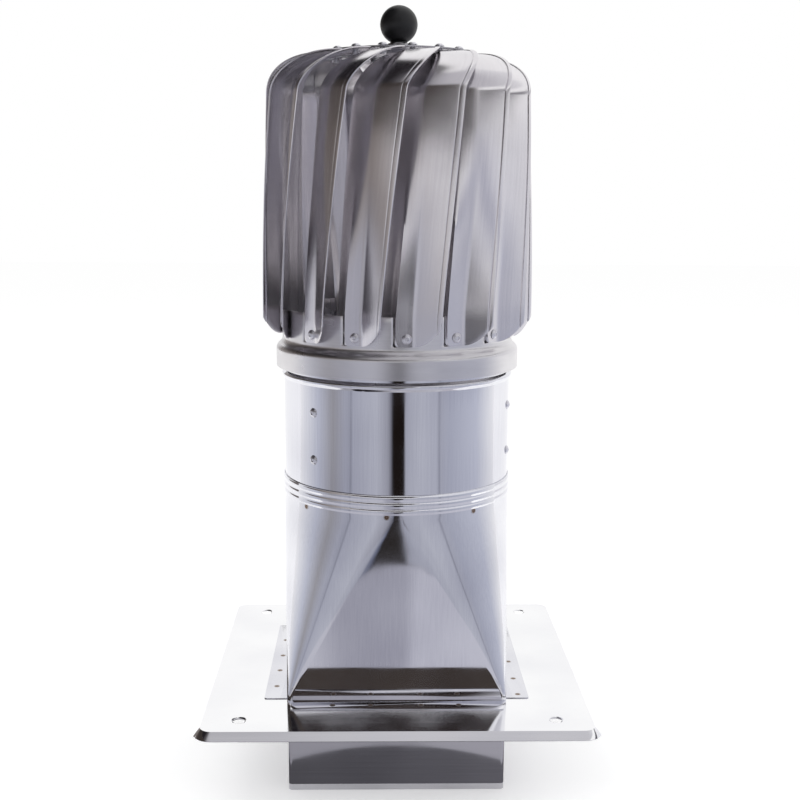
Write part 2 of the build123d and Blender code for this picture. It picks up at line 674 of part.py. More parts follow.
def foot_section(share):
    """Plan of the vane at the ring: hem, flared wing, tab on the ring, then through the slot."""
    tab = CROWN_RADIUS + FOOT_GAP + VANE_SHEET
    rivet_angle = VANE_RIVET_ANGLE - HEM_ANGLE_LOW
    slot_angle = VANE_SLOT_ANGLE - HEM_ANGLE_LOW
    crossing = slot_angle + VANE_CROSSING
    points = [
        plan(HEM_RADIUS, 0), plan(tab + VANE_BEND_RISE, rivet_angle + VANE_TAB_MARGIN),
        plan(tab, rivet_angle + VANE_TAB_MARGIN / 2), plan(tab, crossing),
        plan(CROWN_RADIUS - VANE_CROSSING_DEPTH, crossing - VANE_CROSSING_TURN),
        plan(VANE_INNER_RADIUS, -VANE_INNER_ANGLE_LOW)]
    return polyline_point(points, share)


def blade_section(share):
    """Plan of the vane at the knuckle: one shallow arch from hem to inner edge."""
    hem = plan(HEM_RADIUS, 0)
    inner = plan(VANE_INNER_RADIUS, -VANE_INNER_ANGLE_HIGH)
    chord = math.dist(hem, inner)
    across = ((inner[0] - hem[0]) / chord, (inner[1] - hem[1]) / chord)
    outwards = (across[1], -across[0])
    along = share * chord
    rise = VANE_BULGE * 4 * share * (1 - share)
    return (hem[0] + across[0] * along + outwards[0] * rise,
            hem[1] + across[1] * along + outwards[1] * rise)


def tongue(share):
    """Radius, angle and height of the vane's upper end under the top plate."""
    side = 2 * share - 1
    beyond = TONGUE_OVERHANG if side < 0 else -TONGUE_INNER_INSET
    outline = blend(-TONGUE_REACH, beyond, abs(side) ** TONGUE_FULLNESS)
    radius = TOP_PLATE_RADIUS + outline
    angle = blend(HEM_ANGLE_LOW + HEM_TWIST + DOME_TURN, 0.0, share)
    dip = TONGUE_DIP * smooth((share - TONGUE_DIP_START) / (1 - TONGUE_DIP_START))
    return radius, angle, TOP_PLATE_UNDERSIDE - SLIP - dip


def foot_height(share):
    """Lower edge of the vane: rounded up to the hem outside and clear of the slot inside."""
    outside = (HEM_BOTTOM - VANE_BOTTOM) * max(0.0, 1 - share / FOOT_CORNER) ** 2
    inside = FOOT_STEP * smooth((share - FOOT_STEP_START) / FOOT_STEP_WIDTH)
    return VANE_BOTTOM + outside + inside


def vane_point(rise, share):
    """Point of the vane's outer face.

    rise runs from 0 at the foot to 1 at the knuckle and on to 2 at the top plate.
    share runs from 0 at the hem to 1 at the inner edge.
    """
    up = min(rise, 1.0)
    height = blend(foot_height(share), KNUCKLE_HEIGHT, up)
    climb = max(0.0, height - CROWN_TOP) / (KNUCKLE_HEIGHT - CROWN_TOP)
    morph = smooth(climb * VANE_MORPH_PACE)
    foot = foot_section(share)
    blade = blade_section(share)
    sideways = blend(foot[0], blade[0], morph)
    outwards = blend(foot[1], blade[1], morph)
    radius = math.hypot(sideways, outwards) * (1 - HEM_DRAW / HEM_RADIUS * climb ** HEM_DRAW_PACE)
    angle = math.degrees(math.atan2(sideways, outwards))
    angle += HEM_ANGLE_LOW + HEM_TWIST * climb ** VANE_TWIST_PACE
    if rise > 1.0:
        turn = math.radians(90 * (rise - 1.0))
        end_radius, end_angle, end_height = tongue(share)
        inwards = 1 - max(math.cos(turn), 0.0) ** (2 / DOME_FULLNESS)
        upwards = math.sin(turn) ** (2 / DOME_FULLNESS)
        radius = blend(radius, end_radius, inwards)
        height = blend(height, end_height, upwards)
        angle = blend(angle, end_angle, (rise - 1.0) ** DOME_TWIST_PACE)
    return around(radius, angle, height)


def outward_normal(rise, share):
    """Normal of the vane's outer face, which faces away from the axis and, on the dome, upwards."""
    step = 0.004
    along = vane_point(min(rise + step, 2.0), share) - vane_point(max(rise - step, 0.0), share)
    across = vane_point(rise, min(share + step, 1.0)) - vane_point(rise, max(share - step, 0.0))
    normal = along.cross(across).normalized()
    reach = vane_point(rise, share)
    outwards = Vector(reach.X, reach.Y, VANE_INNER_RADIUS * max(0.0, rise - 1.0))
    return normal if normal.dot(outwards) > 0 else -normal


def vane_rises():
    """Stations up the vane, foot to knuckle and then round the dome."""
    blade = [step / VANE_STATIONS for step in range(VANE_STATIONS + 1)]
    return blade + [1 + station for station in blade[1:]]


def vane_face(depth):
    """Curved face of the vane, the given depth under its outer face."""
    rows = []
    for rise in vane_rises():
        shares = [column / (VANE_COLUMNS - 1) for column in range(VANE_COLUMNS)]
        rows.append([vane_point(rise, share) - outward_normal(rise, share) * depth for share in shares])
    return Face.make_surface_from_array_of_points(rows, tol=0.03, min_deg=3, max_deg=3)


def vane():
    """One vane: a twisted sheet that arches over into the dome, with its two rivet holes."""
    outer = vane_face(0)
    inner = vane_face(VANE_SHEET)
    sides = []
    for edge in outer.edges():
        partner = inner.edges().sort_by_distance(edge.center())[0]
        sides.append(Face.make_surface_from_curves(edge, partner))
    sheet = Solid(Shell([outer, inner, *sides]))
    drill = Cylinder(RIVET_SHANK / 2 + PIN_GAP, 12 * VANE_SHEET)
    sheet -= radial(VANE_RIVET_ANGLE, CROWN_RADIUS, RING_RIVET_HEIGHT) * drill
    sheet -= Pos(*around(TOP_RIVET_RADIUS, TOP_RIVET_ANGLE, TOP_PLATE_UNDERSIDE)) * drill
    return sheet


# ---------------------------------------------------------------- build

def main():
    """Write one STEP file for each node."""
    os.makedirs("parts", exist_ok=True)
    save(base_plate(), "base_plate")
    save(flue_spigot(), "flue_spigot")
    save(transition_hood(), "transition_hood")
    save(neck_tube(), "neck_tube")
    for count, angle in enumerate(leg_angles(), start=1):
        save(spider_leg(angle), f"spider_leg_{count}")
    save(spider_rivets(), "spider_rivets")
    save(bearing_housing(), "bearing_housing")
    save(housing_circlips(), "housing_circlips")
    save(bearing_cap(), "bearing_cap")
    for name, bottom in (("lower", LOWER_BEARING), ("upper", UPPER_BEARING)):
        save(outer_race(bottom), f"{name}_outer_race")
        save(inner_race(bottom), f"{name}_inner_race")
        save(balls(bottom), f"{name}_balls")
        save(cage(bottom), f"{name}_cage")
    save(bearing_shields(), "bearing_shields")
    save(inner_spacer(), "inner_spacer")
    save(shaft_circlips(), "shaft_circlips")
    save(shaft(), "shaft")
    save(shaft_seal(), "shaft_seal")
    save(hub_washer(), "hub_washer")
    save(jam_nut(), "jam_nut")
    save(ball_knob(), "ball_knob")
    save(top_plate(), "top_plate")
    save(top_rivets(), "top_rivets")
    save(rotor_ring(), "rotor_ring")
    save(ring_rivets(), "ring_rivets")
    blade = vane()
    for count in range(VANE_COUNT):
        save(Rot(0, 0, PITCH * count) * blade, f"vane_{count + 1:02d}")


main()
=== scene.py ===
import cmath
import logging
import math
from dataclasses import dataclass, field
from enum import Enum
from typing import Callable, Iterable, Sequence, TypeVar

import bmesh
import bpy
from mathutils import Matrix, Vector


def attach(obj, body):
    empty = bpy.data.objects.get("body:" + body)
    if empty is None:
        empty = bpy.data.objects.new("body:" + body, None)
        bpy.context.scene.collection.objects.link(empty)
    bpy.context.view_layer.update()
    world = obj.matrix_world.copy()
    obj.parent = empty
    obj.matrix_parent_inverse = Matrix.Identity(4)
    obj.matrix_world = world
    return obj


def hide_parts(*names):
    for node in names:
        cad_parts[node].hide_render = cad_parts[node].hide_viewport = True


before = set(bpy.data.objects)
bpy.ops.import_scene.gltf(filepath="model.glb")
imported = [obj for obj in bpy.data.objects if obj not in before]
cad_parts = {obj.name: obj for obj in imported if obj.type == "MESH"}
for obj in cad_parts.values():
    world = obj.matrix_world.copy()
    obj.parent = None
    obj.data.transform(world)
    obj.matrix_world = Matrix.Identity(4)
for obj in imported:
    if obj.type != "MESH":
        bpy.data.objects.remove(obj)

logging.basicConfig(level=logging.INFO, format="%(message)s")
LOG = logging.getLogger("ventilator")

Piece = bpy.types.Object
Form = bmesh.types.BMesh
Tree = bpy.types.NodeTree
Node = bpy.types.Node
Socket = bpy.types.NodeSocket
Material = bpy.types.Material
Edges = list[bmesh.types.BMEdge]
Verts = Iterable[bmesh.types.BMVert]
Section = Callable[[int], Vector]           # point of a column of vertices
Colour = tuple[float, float, float, float]
Point = tuple[float, float]
Number = TypeVar("Number", float, complex)

# Sizes are written in millimetres, like the solids, and turned to metres by MM where a mesh is made.
# Angles round the rotor's axis are in degrees from -Y towards +X: 0 is the front, 90 the right.
MM = 0.001
SMOOTH_ANGLE = 32.0
SAME_SPOT = 0.001               # mm; vertices closer than this are one
BEAD_SHARPNESS = 1.2            # 1 gives a bead a half sine wave
NOISE_LOW = 0.3                 # value of a noise under which a surface stays at its glossiest


# ---- small helpers

def linear(hex_colour: str) -> Colour:
    """Linear colour of an sRGB hex value.

    Args:
        hex_colour: six hex digits, such as "C8C6CC".

    Returns:
        Red, green, blue and alpha.
    """
    channels = [int(hex_colour[i:i + 2], 16) / 255 for i in (0, 2, 4)]
    flat = [c / 12.92 if c <= 0.04045 else ((c + 0.055) / 1.055) ** 2.4 for c in channels]
    return (flat[0], flat[1], flat[2], 1.0)


def grey(value: float) -> Colour:
    """Grey of a linear value."""
    return (value, value, value, 1.0)


def blend(low: Number, high: Number, share: float) -> Number:
    """Straight blend between two values or plan points."""
    return low + (high - low) * share


def even(low: float, high: float, steps: int) -> list[float]:
    """Values from one to another in even steps."""
    return [blend(low, high, step / steps) for step in range(steps + 1)]


def smooth(share: float) -> float:
    """Ease from 0 to 1."""
    share = min(max(share, 0.0), 1.0)
    return share * share * (3 - 2 * share)


def around(radius: float, angle: float, height: float) -> Vector:
    """Point at a radius, angle and height round the axis."""
    turn = math.radians(angle)
    return Vector((radius * math.sin(turn), -radius * math.cos(turn), height))


def lifted(plan: complex, height: float) -> Vector:
    """Point over a plan point, whose real part is X and imaginary part Y."""
    return Vector((plan.real, plan.imag, height))


def about_z(angle: float) -> Matrix:
    """Turn about the axis by an angle in degrees."""
    return Matrix.Rotation(math.radians(angle), 4, "Z")


def radial(angle: float, radius: float, height: float) -> Matrix:
    """Placement whose +Z points outwards from the axis."""
    upright = Matrix.Rotation(math.radians(90), 4, "X")
    return Matrix.Translation(around(radius, angle, height)) @ about_z(angle) @ upright


def fresh_tree(owner: Material | bpy.types.World) -> Tree:
    """Empty node tree of a material or the world.

    Args:
        owner: what the tree belongs to.

    Returns:
        The tree.
    """
    owner.use_nodes = True
    owner.node_tree.nodes.clear()
    return owner.node_tree


def add_node(tree: Tree, kind: str, settings: dict | None = None, links: dict | None = None) -> Node:
    """Add one shader node.

    Args:
        tree: the node tree it goes into.
        kind: Blender's name for the node, after ShaderNode.
        settings: attribute names, or input names or numbers, with their values.
        links: input names or numbers, each with the output socket that feeds it.

    Returns:
        The new node.
    """
    node = tree.nodes.new(f"ShaderNode{kind}")
    for key, value in (settings or {}).items():
        if isinstance(key, str) and hasattr(node, key):
            setattr(node, key, value)
        else:
            node.inputs[key].default_value = value
    for key, socket in (links or {}).items():
        tree.links.new(socket, node.inputs[key])
    return node


def ramp(tree: Tree, source: Socket, stops: Sequence[tuple[float, str]]) -> Socket:
    """Colour ramp fed by a value.

    Args:
        tree: the node tree.
        source: the value that is looked up.
        stops: places from 0 to 1 with their sRGB hex.

    Returns:
        The ramp's colour output.
    """
    node = add_node(tree, "ValToRGB", links={"Fac": source})
    elements = node.color_ramp.elements
    for count, (place, tone) in enumerate(stops):
        stop = elements[count] if count < 2 else elements.new(place)
        stop.position = place
        stop.color = linear(tone)
    return node.outputs["Color"]


def seen_by(tree: Tree, kinds: Sequence[str]) -> Socket:
    """1 for some kinds of ray and 0 for the rest.

    Args:
        tree: the node tree.
        kinds: two or more kinds.

    Returns:
        The output that gives it.
    """
    rays = add_node(tree, "LightPath").outputs
    seen, *others = [rays[f"Is {kind} Ray"] for kind in kinds]
    for other in others:
        seen = add_node(tree, "Math", {"operation": "MAXIMUM"}, {0: seen, 1: other}).outputs[0]
    return seen


# ---- finishes

class Surface:
    """One new material and the steps that the finishes share."""

    def __init__(self, name: str) -> None:
        """Start an empty material.

        Args:
            name: its name.
        """
        self.made = bpy.data.materials.new(name)
        self.tree = fresh_tree(self.made)
        self.place = add_node(self.tree, "TexCoord").outputs

    def noise(self, width: float, detail: float, roughness: float = 0.5, at: Socket | None = None) -> Socket:
        """Noise.

        Args:
            width: width of its features in millimetres.
            detail: number of octaves.
            roughness: share of the finer octaves.
            at: where it is looked up; the object's own coordinates when not given.

        Returns:
            Its strength.
        """
        settings = {"Scale": 1.0 / (width * MM), "Detail": detail, "Roughness": roughness}
        links = {"Vector": at or self.place["Object"]}
        return add_node(self.tree, "TexNoise", settings, links).outputs["Fac"]

    def dulled(self, noise: Socket, top: float, low: float, spread: float) -> Socket:
        """Roughness that rises from low by spread, where the noise rises to top."""
        settings = {"From Min": NOISE_LOW, "From Max": top, "To Min": low, "To Max": low + spread}
        return add_node(self.tree, "MapRange", settings, {"Value": noise}).outputs["Result"]

    def bump(self, noise: Socket, depth: float, **under: Socket) -> Socket:
        """Normal bumped by a noise to a depth in millimetres, over the Normal of another bump if given."""
        settings = {"Strength": 1.0, "Distance": depth * MM}
        return add_node(self.tree, "Bump", settings, {"Height": noise, **under}).outputs["Normal"]

    def close(self, shader: Node) -> Material:
        """Show a shader and hand out the material."""
        add_node(self.tree, "OutputMaterial", links={"Surface": shader.outputs[0]})
        return self.made


class Grain(Enum):
    """Way the marks of a sheet run: the coordinates they follow, and the axes they are close along."""

    UP_THE_PIECE = ("UV", (True, False, True))
    ROUND_THE_PIECE = ("UV", (False, True, True))
    UPRIGHT = ("Object", (True, True, False))
    SIDEWAYS = ("Object", (False, False, True))


@dataclass(frozen=True)
class SheetSteel:
    """Stainless sheet: rolled, then polished or left satin, with fine lines along the rolling direction."""

    name: str
    tone: str
    tone_low: str
    roughness: float
    roughness_spread: float
    grain: Grain
    grain_width: float = 0.9        # mm, spacing of the marks; coarser than on a real sheet
    grain_depth: float = 0.004      # mm
    grain_length: float = 50.0      # times the spacing
    grain_share: float = 0.55       # weight of the marks in the tone
    wave_width: float = 45.0        # mm, slow buckling of thin sheet
    wave_depth: float = 0.02        # mm
    smear_width: float = 22.0       # mm, patches of slightly duller surface
    smear_top: float = 0.75         # value of the noise where the surface is dullest
    tone_span: Point = (0.45, 0.95)
    anisotropy: float = 0.0

    def material(self) -> Material:
        """Build the material.

        Returns:
            The material.
        """
        surface = Surface(self.name)
        across = 1.0 / (self.grain_width * MM)
        follows, close_along = self.grain.value
        stretch = tuple(across if close else across / self.grain_length for close in close_along)
        marks_at = add_node(surface.tree, "VectorMath", {"operation": "MULTIPLY", 1: stretch},
                            {0: surface.place[follows]})
        marks = surface.noise(1.0 / MM, detail=4.0, roughness=0.6, at=marks_at.outputs[0])
        cloud = surface.noise(self.wave_width, detail=0.5, roughness=0.4)
        smear = surface.noise(self.smear_width, detail=1.0)
        mixed = add_node(surface.tree, "Math", {"operation": "MULTIPLY_ADD", 1: self.grain_share},
                         {0: marks, 2: cloud})
        tone = ramp(surface.tree, mixed.outputs[0], list(zip(self.tone_span, (self.tone_low, self.tone))))
        fine = surface.bump(marks, self.grain_depth)
        shader = add_node(
            surface.tree, "BsdfPrincipled", {"Metallic": 1.0, "Anisotropic": self.anisotropy},
            {"Base Color": tone, "Normal": surface.bump(cloud, self.wave_depth, Normal=fine),
             "Roughness": surface.dulled(smear, self.smear_top, self.roughness, self.roughness_spread)})
        if self.anisotropy:
            lay = add_node(surface.tree, "Tangent", {"direction_type": "UV_MAP"})
            surface.tree.links.new(lay.outputs["Tangent"], shader.inputs["Tangent"])
        return surface.close(shader)


@dataclass(frozen=True)
class SolidFinish:
    """Turned metal, moulded plastic or rubber with a fine all-over texture."""

    name: str
    tone: str
    tone_low: str
    metallic: float
    roughness: float
    speck: float                    # mm, size of the texture
    depth: float                    # mm
    spread: float = 0.1
    speck_top: float = 0.7          # value of the noise where the surface is dullest
    tone_span: Point = (0.35, 0.7)

    def material(self) -> Material:
        """Build the material.

        Returns:
            The material.
        """
        surface = Surface(self.name)
        specks = surface.noise(self.speck, detail=4.0, roughness=0.6)
        tone = ramp(surface.tree, specks, list(zip(self.tone_span, (self.tone_low, self.tone))))
        return surface.close(add_node(
            surface.tree, "BsdfPrincipled", {"Metallic": self.metallic},
            {"Base Color": tone, "Normal": surface.bump(specks, self.depth),
             "Roughness": surface.dulled(specks, self.speck_top, self.roughness, self.spread)}))


@dataclass(frozen=True)
class HeatTint:
    """Spot weld on stainless: a bright dimple in a straw to brown oxide ring, on a disc mapped to 0..1."""

    name: str = "heat_tinted_spot_weld"
    speck: float = 1 / 0.9          # mm
    unevenness: float = 0.12
    roughness: float = 0.28
    tones: tuple[tuple[float, str], ...] = (
        (0.05, "9C9088"), (0.22, "6E5A4C"), (0.36, "8A7460"), (0.5, "C9C6C8"))

    def material(self) -> Material:
        """Build the material.

        Returns:
            The material.
        """
        surface = Surface(self.name)
        middle = add_node(surface.tree, "VectorMath",
                          {"operation": "DISTANCE", 1: (0.5, 0.5, 0.0)}, {0: surface.place["UV"]})
        reach = add_node(surface.tree, "Math", {"operation": "MULTIPLY_ADD", 1: self.unevenness},
                         {0: surface.noise(self.speck, detail=3.0), 2: middle.outputs["Value"]})
        return surface.close(add_node(
            surface.tree, "BsdfPrincipled", {"Metallic": 1.0, "Roughness": self.roughness},
            {"Base Color": ramp(surface.tree, reach.outputs[0], self.tones)}))


FINISHES = {
    "plate_steel": SheetSteel("mirror_stainless_plate", "FAFAFB", "F0F0F3", 0.05, 0.05, Grain.SIDEWAYS,
                              grain_depth=0.0012, wave_depth=0.03),
    "hood_steel": SheetSteel("mirror_stainless_hood", "E6E6EB", "D6D6DD", 0.05, 0.05, Grain.UPRIGHT,
                             grain_depth=0.0018, wave_depth=0.11, wave_width=38.0),
    "neck_steel": SheetSteel("mirror_stainless_neck", "E4E4EA", "D2D2DA", 0.05, 0.05, Grain.UPRIGHT,
                             grain_depth=0.002, wave_depth=0.02),
    # painted shade: the spigot's steel is toned darker than the hood's and neck's to stand for the shade under
    # the plate
    "spigot_steel": SheetSteel("mirror_stainless_spigot_shaded", "CAC9CE", "B8B7BC", 0.08, 0.06, Grain.SIDEWAYS,
                               grain_depth=0.002, wave_depth=0.05),
    "vane_steel": SheetSteel("satin_stainless_vane", "E8E5E8", "D6D3D7", 0.20, 0.06, Grain.UP_THE_PIECE,
                             grain_depth=0.012, anisotropy=0.35, wave_depth=0.02),
    "ring_steel": SheetSteel("satin_stainless_ring", "E2E0E2", "CCCACD", 0.26, 0.08, Grain.ROUND_THE_PIECE,
                             grain_depth=0.008),
    "top_plate_steel": SheetSteel("satin_stainless_top", "DEDDE2", "C6C5CB", 0.2, 0.12,
                                  Grain.ROUND_THE_PIECE),
    "rivet_steel": SolidFinish("tumbled_stainless_rivet", "F2F1F5", "DCDBE1", 1.0, 0.36, 0.5, 0.003),
    "bracket_steel": SolidFinish("pickled_stainless", "B9B8BC", "8F8E93", 1.0, 0.34, 0.8, 0.006),
    "turned_steel": SolidFinish("turned_carbon_steel", "C4C3C6", "A3A2A6", 1.0, 0.22, 0.3, 0.004),
    "bearing_steel": SolidFinish("ground_bearing_steel", "DAD9DE", "C6C5CB", 1.0, 0.08, 0.4, 0.001),
    "spring_steel": SolidFinish("phosphated_spring_steel", "3A3A3E", "242427", 0.6, 0.45, 0.3, 0.006),
    "nut_steel": SolidFinish("cold_formed_stainless_nut", "B4B3B6", "8E8D90", 1.0, 0.26, 0.4, 0.006),
    "knob_plastic": SolidFinish("moulded_black_phenolic", "0E0E11", "08080A", 0.0, 0.38, 0.35, 0.01),
    "seal_rubber": SolidFinish("moulded_nitrile", "1B1B1C", "111112", 0.0, 0.6, 0.25, 0.01),
    "heat_tint": HeatTint(),
}


def new_object(name: str, data: bpy.types.ID) -> Piece:
    """Put an object in the scene.

    Args:
        name: its name.
        data: what it shows.

    Returns:
        The object.
    """
    made = bpy.data.objects.new(name, data)
    bpy.context.scene.collection.objects.link(made)
    return made


def mesh_object(name: str, form: Form, made: Material) -> Piece:
    """Turn a shape in metres into an object.

    Args:
        name: its name.
        form: the shape, freed here.
        made: its material.

    Returns:
        The object.
    """
    mesh = bpy.data.meshes.new(name)
    form.to_mesh(mesh)
    form.free()
    mesh.materials.append(made)
    return new_object(name, mesh)


class Workshop:
    """Builds each material once, turns shapes into dressed pieces and keeps the list of them."""

    def __init__(self) -> None:
        """Build every material."""
        self.made = {slot: finish.material() for slot, finish in FINISHES.items()}
        self.pieces: list[Piece] = []

    def add(self, form: Form, name: str, slot: str, body: str, node: str = "",
            thickness: float = 0.0, finish: str = "") -> None:
        """Turn a shape in millimetres into a dressed piece in metres, smooth but for its sharp edges.

        Args:
            form: the shape, freed here.
            name: name of the piece.
            slot: the record's slot name, which is also its finish.
            body: the body it rides on.
            node: the node it stands for, or nothing if it adds to another piece.
            thickness: sheet thickness laid under the faces, or 0 for a closed shape.
            finish: its finish, where that isn't the slot's.
        """
        bmesh.ops.transform(form, matrix=Matrix.Scale(MM, 4), verts=form.verts)
        piece = mesh_object(name, form, self.made[finish or slot])
        piece.data.shade_smooth()
        piece.data.set_sharp_from_angle(angle=math.radians(SMOOTH_ANGLE))
        if thickness:
            wall = piece.modifiers.new("wall", "SOLIDIFY")
            wall.thickness = thickness * MM
            wall.offset = -1.0
            flat = piece.modifiers.new("flat", "WEIGHTED_NORMAL")
            flat.weight = 100
            flat.keep_sharp = True
        if node:
            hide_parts(node)
        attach(piece, body)
        self.pieces.append(piece)


@dataclass
class SubAssembly:
    """Part of the ventilator: its sizes in millimetres, and the workshop that makes its pieces."""

    shop: Workshop


# ---- mesh helpers

def edges_of(verts: Verts) -> Edges:
    """Edges at some vertices, each once and in a steady order."""
    return list(dict.fromkeys(edge for vert in verts for edge in vert.link_edges))


def faces_of(verts: Verts) -> list[bmesh.types.BMFace]:
    """Faces at some vertices, each once and in a steady order."""
    return list(dict.fromkeys(face for vert in verts for face in vert.link_faces))


def close_up(form: Form, upwards: float = 0.0) -> Form:
    """Weld a sheet where its sides meet and turn its faces away from the axis.

    Args:
        form: the sheet.
        upwards: weight of +Z against the direction away from the axis.

    Returns:
        The same sheet.
    """
    bmesh.ops.remove_doubles(form, verts=form.verts, dist=SAME_SPOT)
    form.normal_update()
    total = 0.0
    for face in form.faces:
        middle = face.calc_center_median()
        away = Vector((middle.x, middle.y, 0)).normalized() + Vector((0, 0, upwards))
        total += face.normal.dot(away) * face.calc_area()
    if total < 0:
        bmesh.ops.reverse_faces(form, faces=form.faces)
    return form


def lay_grid(place: Callable[[int, int], Vector], columns: int, rows: int, width: float,
             length: float) -> Form:
    """Lay a grid over a curved sheet, with a UV map in metres along it.

    Args:
        place: point in millimetres for a column and a row of vertices.
        columns: faces across.
        rows: faces up.
        width: real width in millimetres, for the UV map.
        length: real length in millimetres, for the UV map.

    Returns:
        The sheet.
    """
    form = bmesh.new()
    layer = form.loops.layers.uv.verify()
    bmesh.ops.create_grid(form, x_segments=columns, y_segments=rows, size=0.5)
    spots = {vert: (round((vert.co.x + 0.5) * columns), round((vert.co.y + 0.5) * rows))
             for vert in form.verts}
    for face in form.faces:
        for loop in face.loops:
            column, row = spots[loop.vert]
            loop[layer].uv = (column / columns * width * MM, row / rows * length * MM)
    for vert, spot in spots.items():
        vert.co = place(*spot)
    return form


def turned_sheet(profile: Sequence[Point], columns: int) -> Form:
    """Round sheet through radius and height points.

    Args:
        profile: radius and height points in millimetres.
        columns: faces round the axis.

    Returns:
        The sheet with its faces outwards.
    """
    girth = 2 * math.pi * max(radius for radius, _ in profile)
    length = sum(math.dist(a, b) for a, b in zip(profile, profile[1:]))
    form = lay_grid(lambda column, row: around(profile[row][0], 360 * column / columns, profile[row][1]),
                    columns, len(profile) - 1, girth, length)
    return close_up(form, upwards=0.5)


def turned_solid(form: Form, profile: Sequence[Point], steps: int, place: Matrix) -> None:
    """Spin a profile into a closed solid and put it in place.

    Args:
        form: the bmesh it goes into.
        profile: radius and height points from the axis, back to the axis.
        steps: faces round the axis.
        place: placement in millimetres.
    """
    points = [form.verts.new((radius, 0, height)) for radius, height in profile]
    edges = [form.edges.new(pair) for pair in zip(points, points[1:])]
    before = set(form.verts)
    bmesh.ops.spin(form, geom=points + edges, cent=(0, 0, 0), axis=(0, 0, 1), angle=2 * math.pi,
                   steps=steps, use_merge=True)
    fresh = points + [vert for vert in form.verts if vert not in before]
    merged = bmesh.ops.find_doubles(form, verts=fresh, dist=SAME_SPOT / 2)["targetmap"]
    bmesh.ops.weld_verts(form, targetmap=merged)
    fresh = [vert for vert in fresh if vert.is_valid]
    bmesh.ops.transform(form, matrix=place, verts=fresh)
    bmesh.ops.recalc_face_normals(form, faces=faces_of(fresh))


def bead_points(radius: float, height: float, width: float, rise: float, steps: int) -> list[Point]:
    """Profile of a rolled bead, from its lower edge to its upper edge."""
    return [(radius + rise * math.sin(math.pi * share) ** BEAD_SHARPNESS, height + width * (share - 0.5))
            for share in even(0, 1, steps)]


# ---- sub-assemblies

@dataclass
class RoofPlate(SubAssembly):
    """Tray-shaped plate: flat top, 45 degree rim, four dimpled screw holes and a square opening."""

    width: float = 250.0
    depth: float = 240.0
    corner: float = 12.0
    top: float = 61.3
    drop: float = 4.3
    sheet: float = 1.0
    opening: float = 139.8
    opening_corner: float = 2.6
    hole_x: float = 98.0
    hole_y: float = 99.0
    hole_radius: float = 3.8
    dimple_radius: float = 5.5
    dimple_depth: float = 0.5
    corner_steps: int = 10
    hole_steps: int = 32

    def rounded(self, form: Form, half_x: float, half_y: float, corner: float,
                height: float) -> Edges:
        """Rounded rectangle as one loop of edges.

        Args:
            form: the bmesh it goes into.
            half_x: half its width.
            half_y: half its depth.
            corner: corner radius.
            height: its height.

        Returns:
            Its edges.
        """
        per_corner = self.corner_steps + 1
        ringed = bmesh.ops.create_circle(form, segments=4 * per_corner, radius=1.0)["verts"]
        for count, vert in enumerate(ringed):
            quarter, step = divmod(count, per_corner)
            middle = complex((half_x - corner) * (1, -1, -1, 1)[quarter],
                             (half_y - corner) * (1, 1, -1, -1)[quarter])
            turn = math.radians(90 * quarter + 90 * step / self.corner_steps)
            vert.co = lifted(middle + cmath.rect(corner, turn), height)
        return edges_of(ringed)

    def dimple(self, form: Form, side_x: float, side_y: float) -> Edges:
        """Dimpled screw hole.

        Args:
            form: the bmesh it goes into.
            side_x: its middle's X.
            side_y: its middle's Y.

        Returns:
            The edges of its outer circle.
        """
        rings = []
        for radius, sunk in ((self.dimple_radius, 0.0), (self.hole_radius, self.dimple_depth)):
            at = Matrix.Translation((side_x, side_y, self.top - sunk))
            rings.append(edges_of(bmesh.ops.create_circle(
                form, segments=self.hole_steps, radius=radius, matrix=at)["verts"]))
        bmesh.ops.bridge_loops(form, edges=rings[0] + rings[1])
        return rings[0]

    def build(self) -> None:
        """Build and dress the plate."""
        form = bmesh.new()
        half_x, half_y, half_opening = self.width / 2, self.depth / 2, self.opening / 2
        rim = self.rounded(form, half_x - self.drop, half_y - self.drop, self.corner - self.drop, self.top)
        edge = self.rounded(form, half_x, half_y, self.corner, self.top - self.drop)
        bmesh.ops.bridge_loops(form, edges=rim + edge)
        flat = rim + self.rounded(form, half_opening, half_opening, self.opening_corner, self.top)
        for side_x in (-self.hole_x, self.hole_x):
            for side_y in (-self.hole_y, self.hole_y):
                flat += self.dimple(form, side_x, side_y)
        bmesh.ops.triangle_fill(form, edges=flat, use_beauty=True, use_dissolve=False)
        bmesh.ops.recalc_face_normals(form, faces=form.faces)
        close_up(form, upwards=1.0)
        self.shop.add(form, "roof_plate", "plate_steel", "housing", "base_plate", self.sheet)


